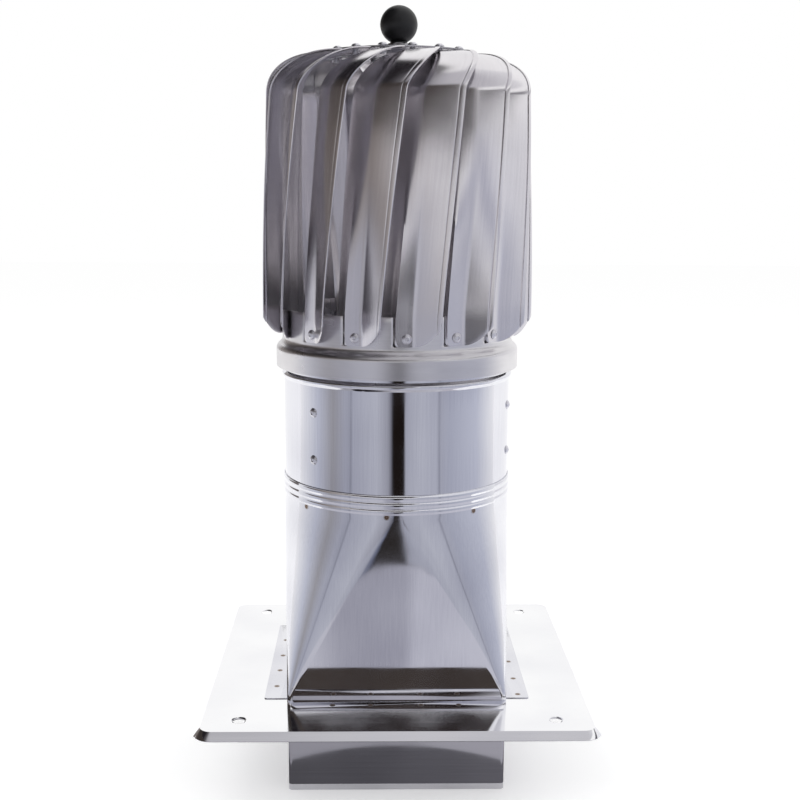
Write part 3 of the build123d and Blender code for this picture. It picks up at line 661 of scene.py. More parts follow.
@dataclass
class SquareToRound:
    """Path round a section that goes from a rounded square to a circle."""

    apex: float = 5.0               # degrees of the circle that each flat side narrows to
    corner_steps: int = 30
    flat_steps: int = 8

    def columns(self) -> int:
        """Faces round the section."""
        return 4 * (self.corner_steps + self.flat_steps)

    def square(self, column: int, side: float, corner: float) -> complex:
        """Point on the rounded square.

        Args:
            column: column of vertices.
            side: width of the square.
            corner: its corner radius.

        Returns:
            The plan point.
        """
        quarter, flat, share = self.split(column)
        straight = side / 2 - corner
        local = complex(straight, straight) + cmath.rect(corner, math.radians(90 * share))
        if flat:
            local = complex(side / 2, blend(-straight, straight, share))
        return local * 1j ** quarter

    def circle(self, column: int, radius: float) -> complex:
        """Point on the circle.

        Args:
            column: column of vertices.
            radius: its radius.

        Returns:
            The plan point.
        """
        quarter, flat, share = self.split(column)
        turn = self.apex * (share - 0.5) if flat else blend(self.apex / 2, 90 - self.apex / 2, share)
        return cmath.rect(radius, math.radians(90 * quarter + turn))

    def split(self, column: int) -> tuple[int, bool, float]:
        """Where a column of vertices lies.

        Args:
            column: its number, from 0.

        Returns:
            Its quarter, whether it is on the quarter's flat, and the share of that run.
        """
        quarter, step = divmod(column, self.corner_steps + self.flat_steps)
        if step <= self.flat_steps:
            return quarter, True, step / self.flat_steps
        return quarter, False, (step - self.flat_steps) / self.corner_steps


@dataclass
class Hood(SubAssembly):
    """Square-to-round hood with flanges below and a beaded collar above, and the square spigot in it."""

    side: float = 141.0
    corner: float = 3.2
    sheet: float = 0.6
    flange: float = 14.6
    riser: float = 64.9
    shoulder: float = 181.0
    plate_top: float = 61.3
    collar_radius: float = 75.7
    collar_top: float = 197.4
    beads: tuple[float, ...] = (186.6, 190.9, 195.2)
    bead_width: float = 3.9
    bead_rise: float = 0.45
    spigot_side: float = 139.6
    spigot_corner: float = 2.5
    spigot_top: float = 64.7
    spots_front: tuple[float, ...] = (-41.0, -17.0, 15.0, 39.0)
    spots_side: tuple[float, ...] = (-62.0, -36.0, -6.0, 21.0, 48.0)
    spot_radius: float = 2.0
    collar_spots: int = 8
    collar_spot_angle: float = -5.5
    collar_spot_height: float = 183.6
    spot_steps: int = 20
    spot_place: float = 0.55        # share of the flange's width, outwards from the wall's middle
    spot_dish: float = 0.5          # share of the spot's radius that is sunk
    spot_sink: float = 0.03
    spot_lift: float = 0.04
    collar_spot_lift: float = 0.05
    flange_corner: float = 1.6
    flange_edge: float = 0.12
    edge_angle: float = 60.0        # degrees; edges that turn more are eased
    shell_steps: int = 12
    bead_steps: int = 8
    spigot_steps: int = 8
    path: SquareToRound = field(default_factory=SquareToRound)

    def rows(self) -> list[Section]:
        """Sections up the hood.

        Returns:
            Each section's point as a function of the column of vertices.
        """
        def squared(height: float) -> Section:
            """Rounded square at a height."""
            return lambda column: lifted(self.path.square(column, self.side, self.corner), height)

        def rounded(radius: float, height: float) -> Section:
            """Circle at a height."""
            return lambda column: lifted(self.path.circle(column, radius), height)

        def between(share: float) -> Section:
            """Section part of the way from the riser to the shoulder."""
            return lambda column: low(column).lerp(high(column), share)

        low, high = squared(self.riser), rounded(self.collar_radius, self.shoulder)
        rows = [squared(self.plate_top), low]
        rows += [between(share) for share in even(0, 1, self.shell_steps)[1:-1]]
        rows.append(high)
        for height in self.beads:
            rows += [rounded(*point) for point in bead_points(
                self.collar_radius, height, self.bead_width, self.bead_rise, self.bead_steps)]
        rows.append(rounded(self.collar_radius, self.collar_top))
        return rows

    def build_shell(self) -> None:
        """Build and dress the hood without its flanges."""
        rows = self.rows()
        form = lay_grid(lambda column, row: rows[row](column), self.path.columns(), len(rows) - 1,
                        4 * self.side, self.collar_top - self.plate_top)
        self.shop.add(close_up(form), "hood_shell", "hood_steel", "housing", "transition_hood", self.sheet)

    def build_flanges(self) -> None:
        """Build and dress the four flanges that lie on the plate."""
        form = bmesh.new()
        middle = self.side / 2 + self.flange / 2 - self.sheet / 2
        size = Matrix.Diagonal((self.flange + self.sheet, self.side - 2 * self.corner, self.sheet, 1.0))
        for quarter in range(4):
            place = about_z(90 * quarter) @ Matrix.Translation((middle, 0, self.plate_top + self.sheet / 2))
            bmesh.ops.create_cube(form, size=1.0, matrix=place @ size)
        upright = [edge for edge in form.edges
                   if abs(edge.verts[0].co.z - edge.verts[1].co.z) > self.sheet / 2]
        self.ease(form, upright, self.flange_corner, steps=4)
        rims = [edge for edge in form.edges if edge.calc_face_angle(0.0) > math.radians(self.edge_angle)]
        self.ease(form, rims, self.flange_edge, steps=2)
        self.shop.add(form, "hood_flanges", "hood_steel", "housing")

    @staticmethod
    def ease(form: Form, edges: Edges, radius: float, steps: int) -> None:
        """Round some edges."""
        bmesh.ops.bevel(form, geom=edges, offset=radius, affect="EDGES", segments=steps, profile=0.5,
                        material=-1)

    def build_spigot(self) -> None:
        """Build and dress the square spigot."""
        def place(column: int, row: int) -> Vector:
            """Point of the spigot's outer face."""
            height = self.spigot_top * row / self.spigot_steps
            return lifted(self.path.square(column, self.spigot_side, self.spigot_corner), height)

        form = lay_grid(place, self.path.columns(), self.spigot_steps, 4 * self.spigot_side, self.spigot_top)
        self.shop.add(close_up(form), "square_spigot", "spigot_steel", "housing", "flue_spigot", self.sheet)

    def build_spots(self) -> None:
        """Build the spot welds on the flanges and under the collar."""
        form = bmesh.new()
        layer = form.loops.layers.uv.verify()
        reach = self.side / 2 + self.flange * self.spot_place
        height = self.plate_top + self.sheet + self.spot_lift
        places = [about_z(90 * quarter) @ Matrix.Translation((spot, -reach, height))
                  for quarter, spots in enumerate(2 * (self.spots_front, self.spots_side)) for spot in spots]
        places += [radial(self.collar_spot_angle + 360.0 / self.collar_spots * count,
                          self.collar_radius + self.collar_spot_lift, self.collar_spot_height)
                   for count in range(self.collar_spots)]
        for place in places:
            faces = faces_of(bmesh.ops.create_circle(form, cap_ends=True, segments=self.spot_steps,
                                                     radius=self.spot_radius)["verts"])
            dish = bmesh.ops.inset_region(form, faces=faces, thickness=self.spot_radius * self.spot_dish,
                                          depth=-self.spot_sink)["faces"]
            faces = list(dict.fromkeys(faces + dish))
            for face in faces:
                for loop in face.loops:
                    spot = loop.vert.co / (2 * self.spot_radius)
                    loop[layer].uv = (spot.x + 0.5, spot.y + 0.5)
            bmesh.ops.transform(form, matrix=place,
                                verts=list(dict.fromkeys(vert for face in faces for vert in face.verts)))
        self.shop.add(form, "spot_welds", "hood_steel", "housing", finish="heat_tint")

    def build(self) -> None:
        """Build and dress every piece of the hood."""
        for part in (self.build_shell, self.build_flanges, self.build_spigot, self.build_spots):
            part()


@dataclass
class Neck(SubAssembly):
    """Round neck with one stiffening bead."""

    radius: float = 75.0
    sheet: float = 0.6
    bottom: float = 181.5
    top: float = 272.5
    bead_height: float = 264.9
    bead_width: float = 5.6
    bead_rise: float = 1.5
    columns: int = 192
    straight_steps: int = 10
    bead_steps: int = 12

    def build(self) -> None:
        """Build and dress the neck."""
        low = self.bead_height - self.bead_width / 2
        profile = [(self.radius, height) for height in even(self.bottom, low, self.straight_steps)[:-1]]
        profile += bead_points(self.radius, self.bead_height, self.bead_width, self.bead_rise,
                               self.bead_steps)
        profile.append((self.radius, self.top))
        self.shop.add(turned_sheet(profile, self.columns), "neck_sleeve", "neck_steel", "housing",
                      "neck_tube", self.sheet)


@dataclass
class Vanes(SubAssembly):
    """Fifteen twisted vanes: folded hem outside, tab on the ring, slot crossing and dome above."""

    count: int = 15
    sheet: float = 0.5
    crown_radius: float = 76.0
    crown_top: float = 308.0
    foot_gap: float = 0.4
    bottom: float = 290.0
    hem_bottom: float = 302.5
    hem_radius: float = 89.0
    hem_draw: float = 3.2
    hem_draw_pace: float = 2.5
    knuckle: float = 442.5
    hem_angle: float = -7.4
    hem_twist: float = 9.8
    dome_turn: float = 25.6
    rivet_angle: float = -20.7
    slot_angle: float = -26.0
    crossing: float = 0.35
    crossing_turn: float = 2.2
    crossing_depth: float = 3.5
    tab_margin: float = 3.2
    bend_rise: float = 0.3
    inner_radius: float = 66.0
    inner_low: float = 27.5
    inner_high: float = 28.8
    bulge: float = 5.6
    morph_pace: float = 1.15
    twist_pace: float = 1.15
    dome_twist_pace: float = 1.25
    fullness: float = 2.2
    foot_corner: float = 0.42
    foot_step: float = 7.0
    foot_step_start: float = 0.60
    foot_step_width: float = 0.25
    plate_radius: float = 50.0
    plate_flat: float = 38.0
    plate_underside: float = 469.0
    overhang: float = 0.8
    inner_corner: float = 44.0
    inset: float = 0.6
    tip_fullness: float = 1.7
    dip: float = 2.6
    dip_start: float = 0.55
    width: float = 44.5
    length: float = 215.0
    hem_profile: tuple[Point, ...] = (      # mm in from the edge, mm over the sheet
        (0.0, -0.32), (0.12, 0.08), (0.32, 0.34), (0.65, 0.45), (1.4, 0.45), (2.6, 0.45), (2.95, 0.3),
        (3.1, -0.1), (3.3, -0.22), (3.6, -0.05), (4.0, 0.0))
    rows: int = 64
    blade_columns: int = 26
    underside_gap: float = 0.1
    probe: float = 0.004            # share stepped over to find a normal

    def shares(self) -> list[float]:
        """Shares across the vane, close together over the fold."""
        close = [spot / self.width for spot, _ in self.hem_profile]
        return close + even(close[-1], 1.0, self.blade_columns)[1:]

    def lift(self, count: int) -> float:
        """Height of the fold over the sheet in millimetres, at a column of vertices."""
        return self.hem_profile[count][1] if count < len(self.hem_profile) else 0.0

    @staticmethod
    def plan(radius: float, angle: float) -> complex:
        """Plan point, real outwards and imaginary sideways, seen with the hem straight ahead."""
        return cmath.rect(radius, math.radians(angle))

    def foot_section(self, share: float) -> complex:
        """Plan of the vane at the ring.

        Args:
            share: 0 at the hem, 1 at the inner edge.

        Returns:
            The plan point.
        """
        tab = self.crown_radius + self.foot_gap + self.sheet
        rivet = self.rivet_angle - self.hem_angle
        crossing = self.slot_angle - self.hem_angle + self.crossing
        points = [
            self.plan(self.hem_radius, 0), self.plan(tab + self.bend_rise, rivet + self.tab_margin),
            self.plan(tab, rivet + self.tab_margin / 2), self.plan(tab, crossing),
            self.plan(self.crown_radius - self.crossing_depth, crossing - self.crossing_turn),
            self.plan(self.inner_radius, -self.inner_low)]
        runs = [abs(end - start) for start, end in zip(points, points[1:])]
        left = share * sum(runs)
        for run, start, end in zip(runs, points, points[1:]):
            spot = blend(start, end, min(left / run, 1.0))
            left -= run
            if left <= 0:
                break
        return spot

    def blade_section(self, share: float) -> complex:
        """Plan of the vane at the knuckle: one shallow arch.

        Args:
            share: 0 at the hem, 1 at the inner edge.

        Returns:
            The plan point.
        """
        hem = self.plan(self.hem_radius, 0)
        chord = self.plan(self.inner_radius, -self.inner_high) - hem
        rise = self.bulge * 4 * share * (1 - share)
        return hem + chord * complex(share, rise / abs(chord))

    def point(self, rise: float, share: float) -> Vector:
        """Point of the plain outer face.

        Args:
            rise: 0 at the foot, 1 at the knuckle, 2 at the top plate.
            share: 0 at the hem, 1 at the inner edge.

        Returns:
            The point in millimetres.
        """
        outside = (self.hem_bottom - self.bottom) * max(0.0, 1 - share / self.foot_corner) ** 2
        inside = self.foot_step * smooth((share - self.foot_step_start) / self.foot_step_width)
        height = blend(self.bottom + outside + inside, self.knuckle, min(rise, 1.0))
        climb = max(0.0, height - self.crown_top) / (self.knuckle - self.crown_top)
        spot = blend(self.foot_section(share), self.blade_section(share), smooth(climb * self.morph_pace))
        radius = abs(spot) * (1 - self.hem_draw / self.hem_radius * climb ** self.hem_draw_pace)
        angle = math.degrees(cmath.phase(spot)) + self.hem_angle + self.hem_twist * climb ** self.twist_pace
        if rise > 1.0:
            turn = math.radians(90 * (rise - 1.0))
            corner = self.plate_radius + self.overhang if share < 0.5 else self.inner_corner
            tip = self.plate_flat + self.inset
            end_radius = blend(tip, corner, abs(2 * share - 1) ** self.tip_fullness)
            end_angle = blend(self.hem_angle + self.hem_twist + self.dome_turn, 0.0, share)
            drop = self.dip * smooth((share - self.dip_start) / (1 - self.dip_start))
            inwards = 1 - max(math.cos(turn), 0.0) ** (2 / self.fullness)
            upwards = math.sin(turn) ** (2 / self.fullness)
            radius = blend(radius, end_radius, inwards)
            height = blend(height, self.plate_underside - self.underside_gap - drop, upwards)
            angle = blend(angle, end_angle, (rise - 1.0) ** self.dome_twist_pace)
        return around(radius, angle, height)

    def normal(self, rise: float, share: float) -> Vector:
        """Outward normal of the plain outer face.

        Args:
            rise: 0 at the foot, 1 at the knuckle, 2 at the top plate.
            share: 0 at the hem, 1 at the inner edge.

        Returns:
            The normal.
        """
        step = self.probe
        along = self.point(min(rise + step, 2.0), share) - self.point(max(rise - step, 0.0), share)
        across = self.point(rise, min(share + step, 1.0)) - self.point(rise, max(share - step, 0.0))
        normal = along.cross(across).normalized()
        reach = self.point(rise, share)
        away = Vector((reach.x, reach.y, self.inner_radius * max(0.0, rise - 1.0)))
        return normal if normal.dot(away) > 0 else -normal

    def build(self) -> None:
        """Build and dress the vanes."""
        shares = self.shares()

        def place(column: int, row: int) -> Vector:
            """Point of the folded outer face."""
            rise, share = 2.0 * row / self.rows, shares[column]
            return self.point(rise, share) + self.normal(rise, share) * self.lift(column)

        form = lay_grid(place, len(shares) - 1, self.rows, self.width, self.length)
        close_up(form, upwards=0.6)
        for count in range(self.count):
            copy = form.copy()
            bmesh.ops.transform(copy, matrix=about_z(360.0 / self.count * count), verts=copy.verts)
            self.shop.add(copy, f"vane_blade_{count + 1:02d}", "vane_steel", "rotor",
                          f"vane_{count + 1:02d}", self.sheet)
        form.free()


@dataclass
class RotorRing(SubAssembly):
    """Slotted ring that ties the vanes' feet, with a flared skirt round the neck."""

    crown_radius: float = 76.0
    crown_top: float = 308.0
    crown_shoulder: float = 288.6
    skirt_radius: float = 80.0
    skirt_shoulder: float = 281.0
    skirt_bottom: float = 269.8
    sheet: float = 0.8
    slots: int = 15
    slot_angle: float = -26.0
    slot_width: float = 2.6
    slot_bottom: float = 291.2
    eye: float = 3.0
    columns: int = 14               # between two slots
    bend_steps: int = 8             # in each half of the flare
    crown_steps: int = 4
    eye_rows: tuple[float, ...] = (-1.0, -0.85, -0.5, 0.0, 0.35, 0.5)      # eye radii from its middle
    eye_span: Point = (-1.01, 0.49)                 # eye radii; the rows between follow the eye
    narrowest: float = 0.05         # half opening at the eye's lower end
    cut_reach: float = 0.3          # degrees; faces nearer than this to a slot's middle lie in it

    def profile(self) -> list[Point]:
        """Outline of the ring.

        Returns:
            Radius and height points from the skirt's lower edge to the crown's upper edge.
        """
        step_in = (self.skirt_radius - self.crown_radius) / 2
        step_up = (self.crown_shoulder - self.skirt_shoulder) / 2
        bend = (step_in ** 2 + step_up ** 2) / (2 * step_in)
        sweep = math.asin(step_up / bend)
        turns = even(0, sweep, self.bend_steps)
        points = [(self.skirt_radius, self.skirt_bottom)]
        points += [(self.skirt_radius - bend * (1 - math.cos(turn)),
                    self.skirt_shoulder + bend * math.sin(turn)) for turn in turns]
        points += [(self.crown_radius + bend * (1 - math.cos(turn)),
                    self.crown_shoulder - bend * math.sin(turn)) for turn in reversed(turns[:-1])]
        eye = self.eye / 2
        points += [(self.crown_radius, self.slot_bottom + eye * rise) for rise in self.eye_rows]
        points += [(self.crown_radius, height)
                   for height in even(self.slot_bottom + eye, self.crown_top, self.crown_steps)]
        return points

    def half_slot(self, height: float) -> float:
        """Half the opening of a slot: an eye at its foot, then straight.

        Args:
            height: where it is measured.

        Returns:
            Half the width in millimetres.
        """
        eye = self.eye / 2
        spot = height - self.slot_bottom
        if not self.eye_span[0] * eye <= spot <= self.eye_span[1] * eye:
            return self.slot_width / 2
        return max(math.sqrt(max(eye ** 2 - spot ** 2, 0.0)), self.narrowest)

    def build(self) -> None:
        """Build and dress the ring."""
        profile = self.profile()
        pitch = 360.0 / self.slots
        run = self.columns + 1

        def place(column: int, row: int) -> Vector:
            """Point of the ring's outer face.

            Args:
                column: column of vertices; the first of each run is a slot's left side.
                row: row of vertices.

            Returns:
                The point in millimetres.
            """
            radius, height = profile[row]
            count, spot = divmod(column, run)
            open_half = math.degrees(self.half_slot(height) / self.crown_radius)
            share = max(spot - 1, 0) / self.columns
            angle = -open_half if spot == 0 else blend(open_half, pitch - open_half, share)
            return around(radius, self.slot_angle + pitch * count + angle, height)

        def in_slot(spot: Vector) -> bool:
            """Whether a face's middle lies in a slot."""
            angle = math.degrees(math.atan2(spot.x, -spot.y)) - self.slot_angle + pitch / 2
            return spot.z > self.slot_bottom - self.eye / 2 and abs(angle % pitch - pitch / 2) < self.cut_reach

        form = close_up(lay_grid(place, self.slots * run, len(profile) - 1, 2 * math.pi * self.crown_radius,
                                 self.crown_top - self.skirt_bottom))
        cut = [face for face in form.faces if in_slot(face.calc_center_median())]
        bmesh.ops.delete(form, geom=cut, context="FACES")
        self.shop.add(form, "ring_band", "ring_steel", "rotor", "rotor_ring", self.sheet)


@dataclass
class Crown(SubAssembly):
    """Top of the rotor: the plate that carries the vanes, and the ball knob."""

    rim_radius: float = 50.0
    underside: float = 469.0
    rise: float = 2.6
    hub: float = 9.0
    bore: float = 4.05
    sheet: float = 1.0
    nut_top: float = 476.6
    knob_radius: float = 12.0
    knob_centre: float = 488.3
    boss: float = 5.5
    boss_height: float = 0.9
    parting: float = 0.06
    rings: int = 12
    plate_columns: int = 120
    knob_rows: int = 40
    knob_columns: int = 64

    def build_plate(self) -> None:
        """Build and dress the top plate."""
        top = self.underside + self.sheet
        profile = [(self.bore, top + self.rise), (self.hub, top + self.rise)]
        profile += [(blend(self.hub, self.rim_radius, share), top + self.rise * (1 - share ** 2))
                    for share in even(0, 1, self.rings)[1:]]
        self.shop.add(turned_sheet(profile, self.plate_columns), "crown_plate", "top_plate_steel", "rotor",
                      "top_plate", self.sheet)

    def build_knob(self) -> None:
        """Build and dress the ball knob with its mould's parting line."""
        foot = self.nut_top + self.boss_height
        profile = []
        for step in range(self.knob_rows + 1):
            turn = math.pi * step / self.knob_rows
            radius = self.knob_radius + (self.parting if 2 * step == self.knob_rows else 0.0)
            height = self.knob_centre + self.knob_radius * math.cos(turn)
            if height <= foot:
                break
            profile.append((radius * math.sin(turn), height))
        profile += [(self.boss, foot), (self.boss, self.nut_top), (0, self.nut_top)]
        form = bmesh.new()
        turned_solid(form, profile, self.knob_columns, Matrix.Identity(4))
        self.shop.add(form, "ball_grip", "knob_plastic", "rotor", "ball_knob")

    def build(self) -> None:
        """Build and dress both pieces."""
        self.build_plate()
        self.build_knob()


@dataclass
class InnerWorks(SubAssembly):
    """Bearings, shaft, nut and spider: the solids' own shapes, merged and dressed."""

    weld: float = 0.01
    flat_angle: float = 0.5         # degrees; faces that turn less become one
    carried: dict[str, dict[str, str]] = field(default_factory=lambda: {
        "rotor": {
            "jam_nut": "nut_steel", "hub_washer": "turned_steel", "shaft": "turned_steel",
            "shaft_circlips": "spring_steel", "inner_spacer": "turned_steel",
            "lower_inner_race": "bearing_steel", "upper_inner_race": "bearing_steel",
            "shaft_seal": "seal_rubber"},
        "housing": {
            "spider_leg_1": "bracket_steel", "spider_leg_2": "bracket_steel",
            "spider_leg_3": "bracket_steel", "bearing_housing": "turned_steel",
            "housing_circlips": "spring_steel", "bearing_cap": "bracket_steel",
            "lower_outer_race": "bearing_steel", "upper_outer_race": "bearing_steel",
            "bearing_shields": "bracket_steel"},
        "lower_cage_set": {"lower_cage": "bracket_steel", "lower_balls": "bearing_steel"},
        "upper_cage_set": {"upper_cage": "bracket_steel", "upper_balls": "bearing_steel"}})

    def copied(self, node: str) -> Form:
        """Merged copy of a node's solid in millimetres.

        Args:
            node: the node's name.

        Returns:
            The copy.
        """
        form = bmesh.new()
        form.from_mesh(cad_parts[node].data)
        bmesh.ops.remove_doubles(form, verts=form.verts, dist=self.weld * MM)
        bmesh.ops.dissolve_limit(form, angle_limit=math.radians(self.flat_angle), verts=form.verts,
                                 edges=form.edges)
        bmesh.ops.transform(form, matrix=Matrix.Scale(1 / MM, 4), verts=form.verts)
        return form

    def build(self) -> None:
        """Copy and dress each node."""
        for body, nodes in self.carried.items():
            for node, slot in nodes.items():
                self.shop.add(self.copied(node), f"{node}_dressed", slot, body, node)


@dataclass
class BlindRivets(SubAssembly):
    """Blind rivets: domed head with the pulled mandrel's small hollow, shank and bulb."""

    head: float = 3.1
    rise: float = 1.7
    hollow: float = 1.05
    hollow_depth: float = 0.6
    shank: float = 1.6
    bulb: float = 2.3
    bulb_length: float = 1.8
    steps: int = 24
    head_steps: int = 8
    hollow_lip: float = 0.15
    hollow_sink: float = 0.12
    taper: float = 0.7              # share of a radius or length that is left at an end
    foot_height: float = 295.0
    foot_seat: float = 0.1
    foot_grip: float = 1.9
    top_radius: float = 43.6
    top_angle: float = 9.9
    top_height: float = 471.065
    top_grip: float = 3.715
    neck_radius: float = 75.0
    leg_angles: tuple[float, ...] = (-45.3, 74.7, 194.7)
    leg_heights: tuple[float, ...] = (215.1, 245.4)
    leg_grip: float = 2.3

    def profile(self, grip: float) -> list[Point]:
        """Outline of one rivet.

        Args:
            grip: length from the head's underside to the bulb.

        Returns:
            Radius and height points from the hollow's middle to the bulb's end.
        """
        ball = (self.head ** 2 + self.rise ** 2) / (2 * self.rise)
        dome = [(radius, math.sqrt(ball ** 2 - radius ** 2) - (ball - self.rise))
                for radius in even(self.hollow + self.hollow_lip, self.head, self.head_steps)]
        crown = dome[0][1]
        floor, end = crown - self.hollow_depth, -grip - self.bulb_length
        return [(0, floor), (self.hollow * self.taper, floor), (self.hollow, crown - self.hollow_sink),
                *dome, (self.shank, 0), (self.shank, -grip), (self.bulb, -grip),
                (self.bulb, -grip - self.bulb_length * self.taper), (self.bulb * self.taper, end), (0, end)]

    def build_set(self, node: str, body: str, grip: float, places: Sequence[Matrix]) -> None:
        """Build the rivets that stand for one node.

        Args:
            node: the node they stand for.
            body: the body they ride on.
            grip: length from the head's underside to the bulb.
            places: placement of each head's underside.
        """
        form = bmesh.new()
        for place in places:
            turned_solid(form, self.profile(grip), self.steps, place)
        self.shop.add(form, f"{node}_detailed", "rivet_steel", body, node)

    def build(self, vanes: Vanes) -> None:
        """Build the rivets of ring, top plate and spider.

        Args:
            vanes: the vanes that they hold.
        """
        pitches = [360.0 / vanes.count * count for count in range(vanes.count)]
        foot = vanes.crown_radius + vanes.foot_gap + vanes.sheet + self.foot_seat
        self.build_set("ring_rivets", "rotor", self.foot_grip, [
            radial(vanes.rivet_angle + pitch, foot, self.foot_height) for pitch in pitches])
        self.build_set("top_rivets", "rotor", self.top_grip, [
            Matrix.Translation(around(self.top_radius, self.top_angle + pitch, self.top_height))
            for pitch in pitches])
        self.build_set("spider_rivets", "housing", self.leg_grip, [
            radial(angle, self.neck_radius, height)
            for angle in self.leg_angles for height in self.leg_heights])


# ---- studio

@dataclass(frozen=True)
class GradedCard:
    """Card curved round the front whose tone changes with azimuth; only reflections see it."""

    name: str
    path: tuple[Point, ...]                         # radius and height, metres
    tones: tuple[tuple[float, str], ...]            # azimuth from the front towards the right, sRGB hex


@dataclass(frozen=True)
class SoftLamp:
    """Square lamp that reflections do not show."""

    name: str
    spot: tuple[float, float, float]                # metres
    power: float                                    # watts
    size: float = 1.0                               # metres


@dataclass
class Studio:
    """White floor and surroundings, soft lamps and reflection cards, two of them painted floor shade round the
    spigot.
    """

    ground_reach: float = 6.0                       # metres
    ground_tone: float = 0.85
    ground_glow: float = 0.35                       # what eye and gloss see on top of the lit floor
    fill: float = 0.75                              # strength of the surroundings for diffuse light
    aim: tuple[float, float, float] = (0.0, 0.0, 0.25)      # metres
    lamps: tuple[SoftLamp, ...] = (
        SoftLamp("lamp_key", (-0.9, -1.1, 1.6), 9.0), SoftLamp("lamp_fill", (1.2, -0.8, 1.3), 7.0))
    card_columns: int = 120
    graded: tuple[GradedCard, ...] = (
        GradedCard("surround", ((0.43, 0.003), (1.35, 0.003), (1.35, 0.33)), (
            (-112, "FFFFFF"), (-84, "C9CCD8"), (-66, "A4A3A7"), (-52, "B0B2BE"),
            (-47, "A8AAB6"), (-46, "8A8C98"), (-44.5, "B2B4C0"), (-20, "BFC1CB"), (-9, "A3A4AE"),
            (-6, "70707A"), (-4.6, "1C1614"), (6.4, "1C1614"), (7.2, "B2B4BF"), (22, "C2C4CE"),
            (39, "B9BBC7"), (41, "8C8E9A"), (42, "B2B4C0"), (52, "B2B5C3"), (84, "C8CBD8"),
            (112, "FFFFFF"))),
        GradedCard("hood_flanks", ((0.43, 0.006), (0.62, 0.006)), (
            (-16, "BABCC7"), (-8, "ABADB8"), (-4.4, "6F7488"), (-2.8, "2A2624"), (2, "2A2624"),
            (2.8, "AEB0BC"), (16, "C0C2CC"))),
        GradedCard("far_wall", ((2.5, 0.1), (2.5, 0.86)), (
            (-150, "A39E9B"), (-122, "77706D"), (-100, "625B58"), (-80, "8A837F"), (-62, "ABA5A2"),
            (-45, "CFCCCC"), (-20, "E4E3E6"), (12, "F6F6F8"), (18, "E0E1E8"),
            (23, "A6A9BA"), (29, "B4B6C4"), (40, "DCDDE5"), (60, "E9EAEF"), (120, "F2F2F5"),
            (150, "FFFFFF"))),
        GradedCard("high_wall", ((2.5, 0.86), (2.5, 1.16)), (
            (-150, "4A4543"), (-60, "3C3532"), (0, "261F1F"), (14, "2C2422"), (22, "F0F0F2"))),
        GradedCard("knuckle_band", ((2.5, 1.02), (2.5, 1.34)), (
            (22, "3E3A3C"), (60, "45434A"), (100, "6A6870"), (140, "F0F0F2"))),
        GradedCard("upper_wall", ((2.5, 1.16), (2.5, 1.9)), (
            (-150, "3A3634"), (-60, "3A3431"), (-10, "453E3A"), (14, "453E3A"), (22, "F2F2F4"))),
        GradedCard("overhead", ((2.5, 1.9), (1.3, 2.3), (0.4, 2.3)), (
            (-160, "1E1C20"), (-62, "242124"), (-44, "5A585B"), (-30, "A8A7AB"), (0, "C4C3C8"),
            (50, "C8C7CC"), (120, "E8E8EB"))),
        GradedCard("overhead_left", ((0.4, 2.3), (0.02, 2.3)), (
            (-172, "1E1C20"), (-50, "242124"), (-36, "5A585A"))),
        GradedCard("near_floor", ((0.22, 0.005), (0.43, 0.005)), (
            (-80, "CECED7"), (-16, "C8C8D1"), (-9, "AAAAB5"), (2, "AEAEB9"), (4, "CACAD4"),
            (80, "D2D2DC"))),
        # painted shade: the next two cards are darker floor round and under the spigot, where the plate shades
        # it; only the spigot's reflections see them
        GradedCard("spigot_floor_shade", ((0.125, 0.004), (0.22, 0.004)), (
            (-80, "A9A8AE"), (-20, "B2B1B8"), (20, "BDBCC3"), (80, "C8C6CE"))),
        GradedCard("spigot_contact_shade", ((0.05, 0.004), (0.125, 0.004)), (
            (-80, "5E5D61"), (0, "66656A"), (80, "807F85"))),
    )

    def world(self) -> None:
        """White surroundings for eye, gloss and glass, softer for diffuse light."""
        world = bpy.data.worlds.new("white_room")
        bpy.context.scene.world = world
        tree = fresh_tree(world)
        level = add_node(tree, "MapRange", {"To Min": self.fill, "To Max": 1.0},
                         {"Value": seen_by(tree, ("Camera", "Glossy", "Transmission"))})
        light = add_node(tree, "Background", {"Color": grey(1.0)},
                         {"Strength": level.outputs["Result"]})
        add_node(tree, "OutputWorld", links={"Surface": light.outputs[0]})

    def floor(self) -> None:
        """White floor under the spigot that keeps the object's shadow."""
        form = bmesh.new()
        bmesh.ops.create_grid(form, x_segments=1, y_segments=1, size=self.ground_reach)
        paper = Surface("white_paper")
        tree = paper.tree
        glow = add_node(tree, "Math", {"operation": "MULTIPLY", 1: self.ground_glow},
                        {0: seen_by(tree, ("Camera", "Glossy"))})
        matt = add_node(tree, "BsdfDiffuse", {"Color": grey(self.ground_tone)})
        lift = add_node(tree, "Emission", {"Color": grey(1.0)}, {"Strength": glow.outputs[0]})
        both = add_node(tree, "AddShader", links={0: matt.outputs[0], 1: lift.outputs[0]})
        mesh_object("ground", form, paper.close(both))

    def curve(self, card: GradedCard) -> None:
        """Hang one card.

        Args:
            card: the card.
        """
        first, final = card.tones[0][0], card.tones[-1][0]
        angles = even(first, final, self.card_columns)
        form = lay_grid(lambda column, row: around(card.path[row][0], angles[column], card.path[row][1]),
                        self.card_columns, len(card.path) - 1, 1 / MM, 1 / MM)
        felt = Surface(f"{card.name}_felt")
        across = add_node(felt.tree, "SeparateXYZ", links={"Vector": felt.place["UV"]})
        tones = ramp(felt.tree, across.outputs["X"],
                     [((angle - first) / (final - first), tone) for angle, tone in card.tones])
        glow = add_node(felt.tree, "Emission", {"Strength": 1.0}, {"Color": tones})
        board = mesh_object(card.name, form, felt.close(glow))
        for ray in ("camera", "diffuse", "shadow", "transmission", "volume_scatter"):
            setattr(board, f"visible_{ray}", False)

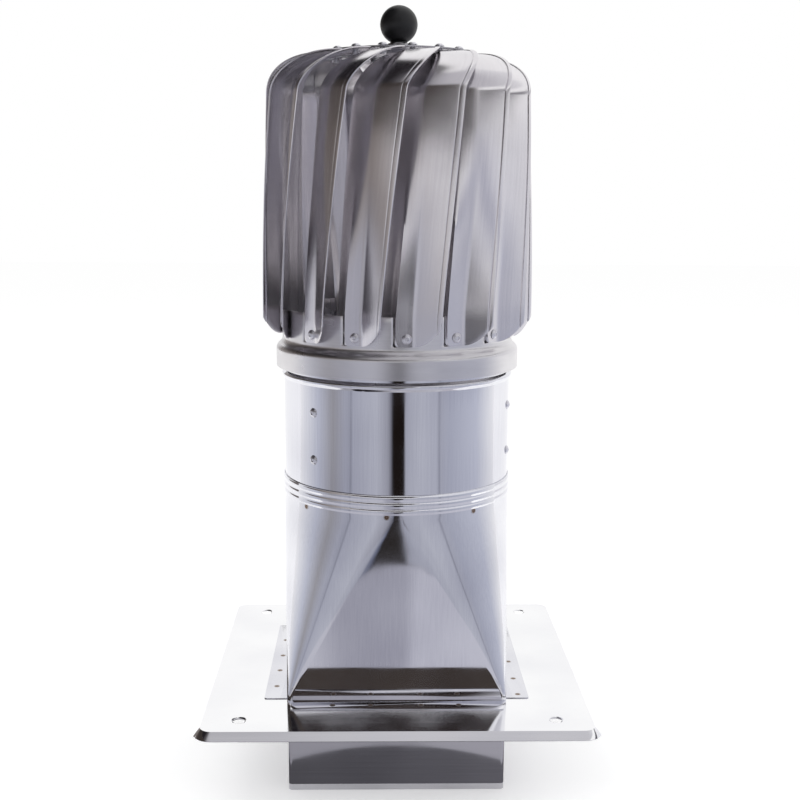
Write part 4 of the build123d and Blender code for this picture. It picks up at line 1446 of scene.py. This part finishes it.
    def light(self, lamp: SoftLamp) -> None:
        """Hang one lamp, aimed at the object.

        Args:
            lamp: the lamp.
        """
        made = bpy.data.lights.new(lamp.name, "AREA")
        made.size = lamp.size
        made.energy = lamp.power
        holder = new_object(lamp.name, made)
        holder.location = lamp.spot
        aim = Vector(self.aim) - holder.location
        holder.rotation_euler = aim.to_track_quat("-Z", "Y").to_euler()
        holder.visible_glossy = False

    def build(self) -> None:
        """Set up the whole studio."""
        self.world()
        self.floor()
        for card in self.graded:
            self.curve(card)
        for lamp in self.lamps:
            self.light(lamp)
        bpy.context.scene.view_settings.view_transform = "Standard"


@dataclass
class Eye:
    """Camera in front, a little above, turned slightly."""

    lens: float = 1217.56           # pixels
    width: float = 800.0            # pixels
    sensor: float = 36.0            # mm
    near: float = 0.01              # metres
    distance: float = 0.80787       # metres
    height: float = 0.38137         # metres
    azimuth: float = 1.11           # degrees from -Y towards -X
    heading: float = 1.27           # degrees from +Y towards +X
    pitch: float = 9.59             # degrees downwards
    roll: float = 0.37              # degrees

    def axes(self) -> tuple[Vector, Vector, Vector]:
        """Directions of the camera's sides.

        Returns:
            Its right, its top and its back.
        """
        heading, pitch, roll = (math.radians(angle) for angle in (self.heading, self.pitch, self.roll))
        ahead = Vector((math.sin(heading) * math.cos(pitch), math.cos(heading) * math.cos(pitch),
                        -math.sin(pitch)))
        right = ahead.cross(Vector((0, 0, 1))).normalized()
        up = right.cross(ahead)
        return (right * math.cos(roll) + up * math.sin(roll), up * math.cos(roll) - right * math.sin(roll),
                -ahead)

    def build(self) -> None:
        """Put the camera in place."""
        eye = bpy.data.cameras.new("eye")
        eye.sensor_width = self.sensor
        eye.lens = self.lens / self.width * self.sensor
        eye.clip_start = self.near
        holder = new_object("eye", eye)
        place = Matrix(self.axes()).transposed().to_4x4()
        place.translation = around(self.distance, -self.azimuth, self.height)
        holder.matrix_world = place
        bpy.context.scene.camera = holder


# ---- build

def main() -> None:
    """Build every sub-assembly and the studio, and report each piece."""
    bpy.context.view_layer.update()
    shop = Workshop()
    vanes = Vanes(shop)
    for part in (RoofPlate(shop), Hood(shop), Neck(shop), vanes, RotorRing(shop), Crown(shop),
                 InnerWorks(shop)):
        part.build()
    BlindRivets(shop).build(vanes)
    for piece in shop.pieces:
        LOG.info("%s: %d faces", piece.name, len(piece.data.polygons))
    Studio().build()
    Eye().build()


if __name__ == "__main__":
    main()
